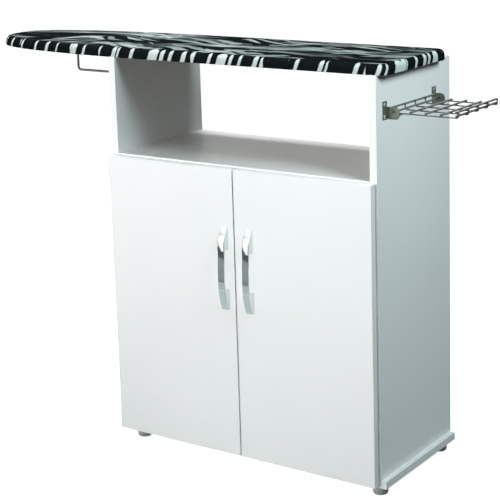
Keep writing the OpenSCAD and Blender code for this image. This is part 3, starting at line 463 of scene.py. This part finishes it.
def crowned_bar(name, node):
    """A bar with the node's side outline, its long edges rounded and its front a little crowned."""
    line = side_outline(node)
    ahead = np.roll(line, -1, axis=0) - line
    ahead /= np.hypot(*ahead.T)[:, None]
    turned = np.column_stack((-ahead[:, 1], ahead[:, 0]))
    area = np.cross(line, np.roll(line, -1, axis=0)).sum()
    inwards = turned * np.sign(area)
    before = np.roll(inwards, 1, axis=0)
    inset_at = (inwards + before) / (1 + (inwards * before).sum(axis=1))[:, None]
    inset_at[line[:, 0] > DOOR_FACE - FOOT_DEPTH, 0] = 0  # the feet stay flat on the door
    low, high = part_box(node)
    half, middle = (high[0] - low[0]) / 2, (high[0] + low[0]) / 2
    flat_half = half - HANDLE_ROUND
    columns = [(flat_half * u, 0.0) for u in (0, 0.25, 0.5, 0.75, 1)]
    for angle in (22.5, 45, 67.5, 90):
        turn = math.radians(angle)
        columns.append((flat_half + HANDLE_ROUND * math.sin(turn), HANDLE_ROUND * (1 - math.cos(turn))))
    columns = [(-x, inset) for x, inset in columns[:0:-1]] + columns
    work = bmesh.new()
    rings = []
    for x, inset in columns:
        flat = line + inset_at * (inset + HANDLE_CROWN * (x / half) ** 2)
        rings.append([work.verts.new((middle + x, y, z)) for y, z in flat])
    for here, there in zip(rings, rings[1:]):
        for i in range(len(here)):
            j = (i + 1) % len(here)
            work.faces.new((here[i], here[j], there[j], there[i]))
    work.faces.new(rings[0])
    work.faces.new(rings[-1][::-1])
    bmesh.ops.recalc_face_normals(work, faces=work.faces)
    mesh = bpy.data.meshes.new(name)
    work.to_mesh(mesh)
    work.free()
    mesh.shade_smooth()
    mesh.set_sharp_from_angle(angle=SHARP_FROM_ANGLE)
    return mesh


for side in ("left", "right"):
    name = side + "_handle_cast"
    bar = crowned_bar(name, side + "_handle")
    handle = new_piece(name, bar, side + "_leaf", satin_chrome)
    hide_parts(side + "_handle")

# ---------------------------------------------------------------- clothes rail
# A bent rod, chrome plated, that runs from a turned flange on the side panel to one under the board's
# nose.
bright_chrome = new_finish(
    "bright_chrome", tones=((0.26, 0.28, 0.28), (0.32, 0.34, 0.34)), tone_scale=25, rough=(0.28, 0.36),
    rough_scale=80, bump_scale=600, bump_depth=0.00001, Metallic=1.0,
)
for node in ("clothes_rail", "rail_side_flange", "rail_board_flange"):
    repaint(node, bright_chrome)

# ---------------------------------------------------------------- iron rack
# Drawn wire in dull chrome on two pressed brackets. The cross wires lie under the rods and are spot
# welded to each of them, which leaves a small flat bead at every crossing.
wire_chrome = new_finish(
    "wire_chrome", tones=((0.15, 0.165, 0.16), (0.22, 0.24, 0.235)), tone_scale=60, rough=(0.3, 0.42),
    rough_scale=140, bump_scale=900, bump_depth=0.00003, Metallic=1.0,
)
for node in ("rack_pivot_rod", "rack_long_rods", "rack_rim_rods", "rack_cross_wires"):
    repaint(node, wire_chrome)
bracket_steel = new_finish(
    "bracket_steel", tones=((0.15, 0.17, 0.13), (0.2, 0.22, 0.175)), tone_scale=70, rough=(0.34, 0.46),
    rough_scale=150, bump_scale=800, bump_depth=0.00004, Metallic=0.5,
)
for node in ("rack_bracket_front", "rack_bracket_rear"):
    repaint(node, bracket_steel)

RODS, ROD_R = 4, 0.002
WIRES, WIRE_R = 5, 0.0013
WELD_WIDTH, WELD_HEIGHT = 0.0046, 0.0018

spot_weld = named_group(
    "spot_weld",
    {
        "Geometry": ("Geometry", None), "Width": ("Float", WELD_WIDTH), "Height": ("Float", WELD_HEIGHT),
        "Metal": ("Material", None),
    },
    {"Geometry": "Geometry"}, "GeometryNodeTree",
)
given = place(spot_weld, "NodeGroupInput").outputs
facing = place(spot_weld, "GeometryNodeInputNamedAttribute", {"Name": "facing"}, data_type="FLOAT_VECTOR")
turned = place(spot_weld, "FunctionNodeAlignRotationToVector", {"Vector": facing.outputs[0]}, axis="Z")
ball = place(spot_weld, "GeometryNodeMeshUVSphere", {"Segments": 12, "Rings": 6, "Radius": 0.5}).outputs[0]
squash = place(spot_weld, "ShaderNodeCombineXYZ", {0: given["Width"], 1: given["Width"], 2: given["Height"]})
bead = place(spot_weld, "GeometryNodeTransform", {"Geometry": ball, "Scale": squash.outputs[0]}).outputs[0]
bead = place(spot_weld, "GeometryNodeSetShadeSmooth", {"Geometry": bead}).outputs[0]
beads = place(spot_weld, "GeometryNodeInstanceOnPoints", {
    "Points": given["Geometry"], "Instance": bead, "Rotation": turned.outputs[0],
}).outputs[0]
beads = place(spot_weld, "GeometryNodeRealizeInstances", {"Geometry": beads}).outputs[0]
beads = place(spot_weld, "GeometryNodeSetMaterial", {"Geometry": beads, "Material": given["Metal"]})
place(spot_weld, "NodeGroupOutput", {"Geometry": beads.outputs[0]})


def grown(name, tree, points, facings, edges=(), **inputs):
    """The mesh that a Geometry Nodes tree makes of points, each of which faces one way, and edges."""
    seed = bpy.data.meshes.new(name)
    seed.from_pydata(points, edges, [])
    seed.attributes.new("facing", "FLOAT_VECTOR", "POINT").data.foreach_set("vector", np.ravel(facings))
    return modified(seed, "NODES", inputs, node_group=tree)


# A bead under each long rod at each cross wire, and one inside each rim rod
low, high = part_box("rack_cross_wires")
wire_ys = np.linspace(low[1] + WIRE_R, high[1] - WIRE_R, WIRES)
low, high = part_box("rack_long_rods")
welds = [(x, y, low[2]) for x in np.linspace(low[0] + ROD_R, high[0] - ROD_R, RODS) for y in wire_ys]
weld_facings = [(0, 0, 1)] * len(welds)
low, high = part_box("rack_rim_rods")
welds += [(x, y, high[2] - ROD_R) for x in (low[0] + 2 * ROD_R, high[0]) for y in wire_ys]
weld_facings += [(1, 0, 0)] * (2 * WIRES)
weld_mesh = grown("rack_welds", spot_weld, welds, weld_facings, Metal=wire_chrome)
new_piece("rack_welds", weld_mesh, "folding_rack", wire_chrome)

# ---------------------------------------------------------------- ironing board
# A chipboard core, a thin foam pad on it, and a cotton cover stretched over both and turned under the
# board all round, where it is stapled.
chipboard = new_finish(
    "raw_chipboard", tones=((0.30, 0.20, 0.11), (0.52, 0.38, 0.22)), tone_scale=340, rough=(0.65, 0.8),
    rough_scale=90, bump_scale=420, bump_depth=0.0002,
)
repaint("board_core", chipboard)

board_low, board_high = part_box("cloth_cover")
BOARD_HALF = (board_high[1] - board_low[1]) / 2
BOARD_MIDDLE_Y = (board_high[1] + board_low[1]) / 2
TAPER_START_X = -0.205
MIDDLE_TO_TIP = 0.13
END_RADIUS = 0.022
NOSE_ALONG, NOSE_ACROSS = 2.1, 3.1
CORNER_POINTS, NOSE_POINTS = 40, 1200
EDGE_WIDTH, EDGE_HEIGHT = 0.009, 0.011
NOSE_MORE_WIDTH, NOSE_MORE_HEIGHT = 0.003, 0.005
NOSE_EDGE_X, NOSE_EDGE_RUN = TAPER_START_X - 0.25, 0.2
TURN_RADIUS = 0.0014
HEM_WIDTH, HEM_LIFT = 0.025, 0.0002
CLOTH_T = 0.0009


def board_outline(inset, spacing):
    """Points along the board's edge, anticlockwise from the front corner of its square end, evenly spaced."""
    half, end_x, radius = BOARD_HALF - inset, board_high[0] - inset, max(END_RADIUS - inset, 0.001)
    nose = TAPER_START_X - board_low[0] - inset
    corner = np.linspace(0, math.pi / 2, CORNER_POINTS)
    sine, cosine = radius * np.sin(corner), radius * np.cos(corner)
    front = np.column_stack((end_x - radius + sine, radius - half - cosine))
    back = np.column_stack((end_x - radius + cosine, half - radius + sine))
    sweep = np.linspace(math.pi / 2, -math.pi / 2, NOSE_POINTS)
    tip = np.column_stack((
        TAPER_START_X - nose * np.cos(sweep).clip(0) ** (2 / NOSE_ALONG),
        half * np.sign(np.sin(sweep)) * np.abs(np.sin(sweep)) ** (2 / NOSE_ACROSS),
    ))
    line = np.vstack((front, back, tip, front[:1]))
    run = np.concatenate(([0], np.cumsum(np.hypot(*np.diff(line, axis=0).T))))
    count = round(run[-1] / spacing)
    stops = np.arange(count) * run[-1] / count
    points = np.column_stack([np.interp(stops, run, line[:, axis]) for axis in (0, 1)])
    points[:, 1] += BOARD_MIDDLE_Y
    return points, stops, run[-1]


def outward(points):
    """Unit normals of a closed anticlockwise outline, pointing outwards."""
    along = np.roll(points, -1, axis=0) - np.roll(points, 1, axis=0)
    along /= np.hypot(*along.T)[:, None]
    return np.column_stack((along[:, 1], -along[:, 0]))


def ring_surface(name, rings, uv_maps):
    """A sheet of quads through rings of points. uv_maps holds, for each map, its coordinates at each ring."""
    count = len(rings[0])
    points = np.vstack(rings)
    faces = [
        (r * count + i, r * count + (i + 1) % count, (r + 1) * count + (i + 1) % count, (r + 1) * count + i)
        for r in range(len(rings) - 1)
        for i in range(count)
    ]
    mesh = bpy.data.meshes.new(name)
    mesh.from_pydata(points.tolist(), [], faces)
    for label, (values, wrap) in uv_maps.items():
        flat = np.vstack(values)
        corners = np.array(faces).reshape(-1)
        uv = flat[corners]
        if wrap:
            last = (np.arange(len(faces)) % count == count - 1).repeat(4)
            first_column = corners % count == 0
            uv[last & first_column, 0] += wrap
        mesh.uv_layers.new(name=label).data.foreach_set("uv", uv.ravel())
    return mesh


def edge_size(points):
    """Width and height of the rounded top edge: larger towards the nose, where the foam is pulled thinner."""
    nearness = np.clip((NOSE_EDGE_X - points[:, 0]) / NOSE_EDGE_RUN, 0, 1)
    return EDGE_WIDTH + NOSE_MORE_WIDTH * nearness, EDGE_HEIGHT + NOSE_MORE_HEIGHT * nearness


def middle_of(points):
    """The point of the board's long middle line that lies nearest to each point of its outline."""
    along = np.clip(points[:, 0], board_low[0] + MIDDLE_TO_TIP, board_high[0] - BOARD_HALF)
    return np.column_stack((along, np.full(len(points), BOARD_MIDDLE_Y)))


def write_smooth(work, mesh):
    """Writes what was edited back to its mesh, with every face shaded smooth."""
    for f in work.faces:
        f.smooth = True
    work.to_mesh(mesh)
    work.free()


COVER_SPACING = 0.0045
TOP_INSET = 0.014
CROWN = 0.0008
SWELL, SWELLS_PER_METRE = 0.00025, (9, 14)
RIPPLES_PER_METRE = 55
PULL, NOSE_PULL = 0.0003, 0.0004
NOSE_PULL_X, NOSE_PULL_RUN = 0.16, 0.03
HANG = 0.0006
outline, stops, perimeter = board_outline(0, COVER_SPACING)
normals = outward(outline)
medial = middle_of(outline)
shoulder = outline - normals * TOP_INSET
# The cloth's edge ripples a little where it is pulled round the side, and more so round the nose
ripple = np.array([noise.noise(Vector((s * RIPPLES_PER_METRE, 0.3, 0))) for s in stops])
curved = 1 / (1 + np.exp((outline[:, 0] - TAPER_START_X + NOSE_PULL_X) / NOSE_PULL_RUN))
pull = PULL + NOSE_PULL * curved
rings, prints, bands = [], [], []


def add_ring(flat, height, print_at, beyond):
    """A ring of the cover, with its place in the flat cloth and how far it lies past the board's outline."""
    rings.append(np.column_stack((flat, height)))
    prints.append(print_at)
    bands.append(np.column_stack((stops, beyond * np.ones(len(stops)))))


TOP_STEPS = 26
for step in range(TOP_STEPS, -1, -1):
    share = step / TOP_STEPS
    flat = shoulder + (medial - shoulder) * share
    along, across = flat[:, 0] * SWELLS_PER_METRE[0], flat[:, 1] * SWELLS_PER_METRE[1]
    swell = np.array([noise.fractal(Vector((x, y, 0.7)), 1.0, 2.0, 2) for x, y in zip(along, across)])
    height = board_high[2] + CROWN * (1 - (1 - share) ** 2) + SWELL * swell * min(1, 3 * share + 0.2)
    add_ring(flat, height, flat, -TOP_INSET - share * BOARD_HALF)
beyond = np.full(len(stops), -TOP_INSET)
edge_w, edge_h = edge_size(outline)
# From the top's edge to the cut edge under the board: the inset, the height, and a slack that is 0 at the
# top, 1 at the foot of the side and 2 at the cut edge
EDGE_STEPS, SIDE_STEPS, TURN_STEPS, HEM_STEPS = 8, 4, 3, 7
profile = []
for step in range(1, EDGE_STEPS + 1):
    angle = math.radians(90 * step / EDGE_STEPS)
    profile.append((edge_w * (1 - math.sin(angle)), board_high[2] - edge_h * (1 - math.cos(angle)), 0.0))
bottom = board_low[2] + HEM_LIFT
side_from, side_to = board_high[2] - edge_h, bottom + TURN_RADIUS
for step in range(1, SIDE_STEPS + 1):
    share = step / SIDE_STEPS
    profile.append((0.0, side_from + (side_to - side_from) * share, share))
for step in range(1, TURN_STEPS + 1):
    angle = math.radians(90 * step / TURN_STEPS)
    profile.append((TURN_RADIUS * (1 - math.cos(angle)), side_to - TURN_RADIUS * math.sin(angle), 1.0))
for step in range(1, HEM_STEPS + 1):
    inset = TURN_RADIUS + (HEM_WIDTH - TURN_RADIUS) * step / HEM_STEPS
    profile.append((inset, bottom, 1.0 + step / HEM_STEPS))
before = (TOP_INSET, board_high[2])
for inset, height, slack in profile:
    beyond = beyond + np.hypot(inset - before[0], height - before[1])
    before = (inset, height)
    wave = ripple * pull * min(slack, 1.0)
    flat = outline - normals * (inset - wave)[:, None]
    hang = -HANG * np.abs(ripple) * max(slack - 1.0, 0)
    add_ring(flat, height + hang, outline + normals * np.reshape(beyond, (-1, 1)), beyond)

# The side panels come up through the hem to the core, so the hem is notched round them
COVER_MERGE = 0.0002
PANEL_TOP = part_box("left_side_panel")[1][2]
NOTCH_GAP, NOTCH_LIFT = 0.0003, 0.0002
notch_z = PANEL_TOP + NOTCH_LIFT
cover_mesh = ring_surface("printed_cover", rings, {"print": (prints, 0.0), "band": (bands, perimeter)})
work = bmesh.new()
work.from_mesh(cover_mesh)
bmesh.ops.remove_doubles(work, verts=work.verts, dist=COVER_MERGE)
notches = []
for side in ("left", "right"):
    low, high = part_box(side + "_side_panel")
    low_x, high_x = low[0] - NOTCH_GAP, high[0] + NOTCH_GAP
    notches.append((low_x, high_x))
    cuts = (((low_x, 0, 0), (1, 0, 0)), ((high_x, 0, 0), (1, 0, 0)), ((0, 0, notch_z), (0, 0, 1)))
    for at, normal in cuts:
        under = [f for f in work.faces if min(v.co.z for v in f.verts) < notch_z]
        near = under + list({e for f in under for e in f.edges}) + list({v for f in under for v in f.verts})
        bmesh.ops.bisect_plane(work, geom=near, plane_co=at, plane_no=normal, dist=SAME_POINT)
    gone = [
        f for f in work.faces
        if f.calc_center_median().z < notch_z - NOTCH_LIFT / 2 and low_x < f.calc_center_median().x < high_x
        and max(v.co.z for v in f.verts) < notch_z + NOTCH_LIFT / 2
    ]
    bmesh.ops.delete(work, geom=gone, context="FACES")
bmesh.ops.recalc_face_normals(work, faces=work.faces)
top_face = max(work.faces, key=lambda f: f.calc_center_median().z)
if top_face.normal.z < 0:
    bmesh.ops.reverse_faces(work, faces=work.faces)
write_smooth(work, cover_mesh)

# The print: clumps of pointed grass blades over long soft brush streaks, in off-white and grey-green on
# black. It is all worked out from the cloth's own flat coordinates, so that it runs over the edge with it.
blades = named_group(
    "grass_blades",
    {
        "Vector": ("Vector", (0, 0, 0)), "Size": ("Vector", (0.1, 0.02, 1)), "Angle": ("Float", 0.0),
        "Seed": ("Vector", (0, 0, 0)), "Fullness": ("Float", 0.3),
    },
    {"Mask": "Float", "Tone": "Float"},
)
given = place(blades, "NodeGroupInput").outputs
at = place(
    blades, "ShaderNodeVectorRotate", {"Vector": given["Vector"], "Angle": given["Angle"]},
    rotation_type="Z_AXIS",
).outputs[0]
at = place(blades, "ShaderNodeVectorMath", {0: at, 1: given["Size"]}, operation="DIVIDE").outputs[0]
at = place(blades, "ShaderNodeVectorMath", {0: at, 1: given["Seed"]}, operation="ADD").outputs[0]
cells = place(
    blades, "ShaderNodeTexVoronoi", {"Vector": at, "Scale": 1.0, "Randomness": 0.85}, voronoi_dimensions="2D"
).outputs
chance = place(blades, "ShaderNodeSeparateColor", {0: cells["Color"]}).outputs
local = place(blades, "ShaderNodeVectorMath", {0: at, 1: cells["Position"]}, operation="SUBTRACT").outputs[0]
axes = place(blades, "ShaderNodeSeparateXYZ", {0: local}).outputs
# Each blade is widest a third of the way along and runs out to a long point
BLADE_RUN, BLADE_ROOT = 0.9, 0.42
BLADE_PEAK = 2.6
LEAST_FULL, VARIED_FULL = 0.6, 0.6
MASK_SLOPE = 14.0
share = combine(blades, "ADD", combine(blades, "MULTIPLY", axes[0], BLADE_RUN), BLADE_ROOT)
share = place(blades, "ShaderNodeClamp", {0: share}).outputs[0]
root_end = combine(blades, "SQRT", share)
tip_end = combine(blades, "SUBTRACT", 1.0, share)
room = combine(blades, "MULTIPLY", combine(blades, "MULTIPLY", root_end, tip_end), BLADE_PEAK)
own = combine(blades, "ADD", combine(blades, "MULTIPLY", chance[0], VARIED_FULL), LEAST_FULL)
room = combine(blades, "MULTIPLY", combine(blades, "MULTIPLY", room, own), given["Fullness"])
gap = combine(blades, "SUBTRACT", room, combine(blades, "ABSOLUTE", axes[1]))
mask = place(blades, "ShaderNodeClamp", {0: combine(blades, "MULTIPLY", gap, MASK_SLOPE)}).outputs[0]
place(blades, "NodeGroupOutput", {"Mask": mask, "Tone": chance[1]})

INK = (0.006, 0.008, 0.009, 1)
CHALK = (0.50, 0.56, 0.54, 1)
SMOKE = (0.15, 0.19, 0.185, 1)
cloth = bpy.data.materials.new("printed_cotton")
cloth.use_nodes = True
tree = cloth.node_tree
shader = tree.nodes["Principled BSDF"]
print_at = place(tree, "ShaderNodeUVMap", uv_map="print").outputs[0]
band_at = place(tree, "ShaderNodeUVMap", uv_map="band").outputs[0]


def streaks(scale, offset, detail=3.0):
    """Noise stretched along the board by different scales in its length and width."""
    moved = place(tree, "ShaderNodeMapping", {"Vector": bent, "Scale": scale, "Location": offset}).outputs[0]
    return place(tree, "ShaderNodeTexNoise", {"Vector": moved, "Scale": 1.0, "Detail": detail}).outputs[0]


# Everything in the print is bent by the same slow wobble. The streaks are noise between two limits.
WOBBLES_PER_METRE, WOBBLE = 4.5, (0.10, 0.14, 0)
BROAD_SPAN, FINE_SPAN, GLINT_SPAN = (0.48, 0.60), (0.38, 0.66), (0.53, 0.61)
GLINT_SHARE = 0.75
CLUMP_EDGE = 0.02
TONE_SPAN = (0.0, 0.7)
wobble = place(tree, "ShaderNodeTexNoise", {"Vector": print_at, "Scale": WOBBLES_PER_METRE, "Detail": 2.0})
wobble = place(
    tree, "ShaderNodeVectorMath", {0: wobble.outputs[1], 1: (0.5, 0.5, 0.5)}, operation="SUBTRACT"
).outputs[0]
wobble = place(tree, "ShaderNodeVectorMath", {0: wobble, 1: WOBBLE}, operation="MULTIPLY").outputs[0]
bent = place(tree, "ShaderNodeVectorMath", {0: print_at, 1: wobble}, operation="ADD").outputs[0]
broad = remap(tree, streaks(scale=(3.0, 14, 1), offset=(0, 0, 0)), BROAD_SPAN)
fine = remap(tree, streaks(scale=(5, 75, 1), offset=(4, 2, 0), detail=4.0), FINE_SPAN)
color = blend(tree, combine(tree, "MULTIPLY", broad, fine), INK, SMOKE)
glint = remap(tree, streaks(scale=(4, 42, 1), offset=(9, 5, 0)), GLINT_SPAN)
glint = combine(tree, "MULTIPLY", combine(tree, "MULTIPLY", glint, broad), GLINT_SHARE)
color = blend(tree, glint, color, CHALK)
for size, angle, seed, fullness, clump, share in (
    ((0.17, 0.034, 1), 0.42, (3.3, 7.1, 0), 0.30, (3.1, 9, 1), 0.50),
    ((0.12, 0.026, 1), -0.50, (8.2, 1.7, 0), 0.27, (3.6, 11, 1), 0.52),
):
    clumps = remap(tree, streaks(scale=clump, offset=seed, detail=1.0), (share, share + CLUMP_EDGE))
    grass = use_group(tree, blades, {
        "Vector": bent, "Size": size, "Angle": angle, "Seed": seed, "Fullness": fullness,
    })
    shown = combine(tree, "MULTIPLY", grass["Mask"], clumps)
    tone = combine(tree, "MULTIPLY", remap(tree, grass["Tone"], TONE_SPAN), fine)
    color = blend(tree, shown, color, blend(tree, tone, SMOKE, CHALK))

# The band round the edge: upright strokes in loose groups on black, with a stretch left nearly plain
STROKES_PER_METRE, GROUPS_PER_METRE = 40.0, 3.1
CURL_FROM, CURL = 0.012, 9.0
LEAST_WIDTH, VARIED_WIDTH, BROAD_WIDTH = 0.12, 0.14, 0.28
BROAD_ABOVE, SHOWN_ABOVE, GROUP_ABOVE = 0.86, 0.12, 0.42
BAND_SPAN, STROKE_SPAN = (-0.0105, -0.0065), (-0.013, -0.002)
side = place(tree, "ShaderNodeSeparateXYZ", {0: band_at}).outputs
curl = combine(tree, "POWER", combine(tree, "ADD", side[1], CURL_FROM), 2.0)
lean = combine(tree, "ADD", side[0], combine(tree, "MULTIPLY", curl, CURL))
lean = combine(tree, "MULTIPLY", lean, STROKES_PER_METRE)
strokes = place(
    tree, "ShaderNodeTexVoronoi", {"W": lean, "Scale": 1.0, "Randomness": 0.85}, voronoi_dimensions="1D"
).outputs
pick = place(tree, "ShaderNodeSeparateColor", {0: strokes["Color"]}).outputs
broad_one = combine(tree, "MULTIPLY", combine(tree, "GREATER_THAN", pick[2], BROAD_ABOVE), BROAD_WIDTH)
thick = combine(tree, "ADD", broad_one, LEAST_WIDTH)
thick = combine(tree, "ADD", combine(tree, "MULTIPLY", pick[0], VARIED_WIDTH), thick)
thick = combine(tree, "MULTIPLY", thick, remap(tree, side[1], STROKE_SPAN))
stroke = combine(tree, "MULTIPLY", combine(tree, "SUBTRACT", thick, strokes["Distance"]), MASK_SLOPE)
stroke = place(tree, "ShaderNodeClamp", {0: stroke}).outputs[0]
along = combine(tree, "MULTIPLY", side[0], GROUPS_PER_METRE)
groups = place(tree, "ShaderNodeTexNoise", {"W": along}, noise_dimensions="1D").outputs[0]
stroke = combine(tree, "MULTIPLY", stroke, combine(tree, "GREATER_THAN", groups, GROUP_ABOVE))
stroke = combine(tree, "MULTIPLY", stroke, combine(tree, "GREATER_THAN", pick[1], SHOWN_ABOVE))
color = blend(tree, remap(tree, side[1], BAND_SPAN), color, INK)
color = blend(tree, stroke, color, CHALK)
tree.links.new(color, shader.inputs["Base Color"])
# A plain weave: low threads across each other
WEAVE, WEAVE_DEPTH = 390.0, 0.00008
warp = place(tree, "ShaderNodeTexWave", {"Vector": print_at, "Scale": WEAVE}, bands_direction="X").outputs[1]
weft = place(tree, "ShaderNodeTexWave", {"Vector": print_at, "Scale": WEAVE}, bands_direction="Y").outputs[1]
threads = combine(tree, "ADD", warp, weft)
relief = place(tree, "ShaderNodeBump", {"Height": threads, "Distance": WEAVE_DEPTH, "Strength": 0.6})
tree.links.new(relief.outputs[0], shader.inputs["Normal"])
shader.inputs["Roughness"].default_value = 0.75
shader.inputs["Specular IOR Level"].default_value = 0.0

thick_cover = modified(cover_mesh, "SOLIDIFY", thickness=CLOTH_T, offset=-1.0)
cover = new_piece("printed_cover", thick_cover, "cabinet", cloth)
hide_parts("cloth_cover")

# The cut edge of the cloth, under the board, is overlocked: slanted stitches over the edge and a cord of
# thread along it. It stops where the side panels come up through the hem.
STITCH_PITCH, STITCH_REACH, STITCH_LEAN = 0.003, 0.0045, 0.0011
STITCH_STOP = 0.002
THREAD_R = 0.00025
overlock = named_group(
    "overlock",
    {
        "Geometry": ("Geometry", None), "Pitch": ("Float", STITCH_PITCH), "Reach": ("Float", STITCH_REACH),
        "Lean": ("Float", STITCH_LEAN), "Thread radius": ("Float", THREAD_R), "Thread": ("Material", None),
    },
    {"Geometry": "Geometry"}, "GeometryNodeTree",
)
given = place(overlock, "NodeGroupInput").outputs
edge = place(overlock, "GeometryNodeMeshToCurve", {"Mesh": given["Geometry"]}).outputs[0]
edge = place(overlock, "GeometryNodeResampleCurve", {"Curve": edge, "Length": given["Pitch"]}, mode="LENGTH")
facing = place(overlock, "GeometryNodeInputNamedAttribute", {"Name": "facing"}, data_type="FLOAT_VECTOR")
turned = place(
    overlock, "FunctionNodeAlignRotationToVector", {"Vector": facing.outputs[0]}, axis="Y", pivot_axis="Z"
)
thread_round = place(overlock, "GeometryNodeCurvePrimitiveCircle", {
    "Resolution": 5, "Radius": given["Thread radius"],
})
stitch_end = place(overlock, "ShaderNodeCombineXYZ", {0: given["Lean"], 1: given["Reach"]})
stitch = place(overlock, "GeometryNodeCurvePrimitiveLine", {"End": stitch_end.outputs[0]})
stitch = place(overlock, "GeometryNodeCurveToMesh", {
    "Curve": stitch.outputs[0], "Profile Curve": thread_round.outputs[0], "Fill Caps": True,
})
row = place(overlock, "GeometryNodeInstanceOnPoints", {
    "Points": edge.outputs[0], "Instance": stitch.outputs[0], "Rotation": turned.outputs[0],
})
cord = place(overlock, "GeometryNodeCurveToMesh", {
    "Curve": edge.outputs[0], "Profile Curve": thread_round.outputs[0], "Fill Caps": True,
})
both = place(overlock, "GeometryNodeJoinGeometry")
for part in (row, cord):
    overlock.links.new(part.outputs[0], both.inputs[0])
sewn = place(overlock, "GeometryNodeRealizeInstances", {"Geometry": both.outputs[0]}).outputs[0]
sewn = place(overlock, "GeometryNodeSetMaterial", {"Geometry": sewn, "Material": given["Thread"]}).outputs[0]
place(overlock, "NodeGroupOutput", {"Geometry": sewn})

thread = new_finish(
    "black_thread", tones=((0.008, 0.009, 0.01), (0.02, 0.022, 0.024)), tone_scale=300, rough=(0.5, 0.65),
    rough_scale=500, bump_scale=2600, bump_depth=0.00003,
)
hem_line = rings[-1]
free = [
    all(not low - STITCH_STOP < x < high + STITCH_STOP for low, high in notches) for x in hem_line[:, 0]
]
count = len(hem_line)
hem_edges = [(i, (i + 1) % count) for i in range(count) if free[i] and free[(i + 1) % count]]
hem_facings = np.column_stack((normals, np.zeros(count)))
stitch_mesh = grown("hem_overlock", overlock, hem_line.tolist(), hem_facings, hem_edges, Thread=thread)
hem_overlock = new_piece("hem_overlock", stitch_mesh, "cabinet", thread)

# The foam is cut to the core's outline and lies flat under the cover.
FOAM_SPACING, FOAM_MERGE = 0.006, 0.0003
FLAT_STEPS, ROUND_STEPS = 8, 6
foam_low, foam_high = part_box("foam_pad")
foam_inset = foam_low[0] - board_low[0]
foam_outline = board_outline(foam_inset, FOAM_SPACING)[0]
foam_rings = []
foam_middle = middle_of(foam_outline)
foam_normals = outward(foam_outline)
foam_t = foam_high[2] - foam_low[2]
foam_w, foam_h = edge_size(foam_outline)
bend = np.arccos(1 - foam_t / foam_h)


def add_foam_ring(inset, share, drop):
    """A ring set in from the foam's outline, then moved by a share of the way to its middle line."""
    flat = foam_outline - foam_normals * np.reshape(inset, (-1, 1))
    flat = flat + (foam_middle - flat) * share
    foam_rings.append(np.column_stack((flat, foam_high[2] - drop * np.ones(len(flat)))))


for step in range(FLAT_STEPS, -1, -1):
    add_foam_ring(foam_w, step / FLAT_STEPS, 0)
for step in range(1, ROUND_STEPS + 1):
    angle = bend * step / ROUND_STEPS
    add_foam_ring(foam_w * (1 - np.sin(angle)), 0, foam_h * (1 - np.cos(angle)))
for step in range(1, FLAT_STEPS + 1):
    add_foam_ring(foam_w * (1 - np.sin(bend)), step / FLAT_STEPS, foam_t)
foam_mesh = ring_surface("foam_sheet", foam_rings, {})
work = bmesh.new()
work.from_mesh(foam_mesh)
bmesh.ops.remove_doubles(work, verts=work.verts, dist=FOAM_MERGE)
bmesh.ops.recalc_face_normals(work, faces=work.faces)
write_smooth(work, foam_mesh)
foam = new_finish(
    "open_cell_foam", tones=((0.72, 0.66, 0.5), (0.8, 0.75, 0.6)), tone_scale=40, rough=(0.85, 0.95),
    rough_scale=60, bump_scale=900, bump_depth=0.0003,
)
foam_piece = new_piece("foam_sheet", foam_mesh, "cabinet", foam)
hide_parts("foam_pad")

# ---------------------------------------------------------------- clean shadows
# As in a retouched catalogue picture, the handles throw only a faint shadow on the doors, and the board's
# cover and the rack throw none on the side panel; the board's core and foam still do.


def throw_no_shadow(lamp, *starts):
    """The light passes through every piece whose name starts with one of these words."""
    passed = bpy.data.collections.new(lamp + "_passes")
    for piece in bpy.data.objects:
        if piece.type == "MESH" and piece.name.startswith(starts):
            passed.objects.link(piece)
    for entry in passed.collection_objects:
        entry.light_linking.link_state = "EXCLUDE"
    bpy.data.objects[lamp].light_linking.blocker_collection = passed


throw_no_shadow("key", "left_handle", "right_handle")
throw_no_shadow("side", "printed_cover", "rack_")

low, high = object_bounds()
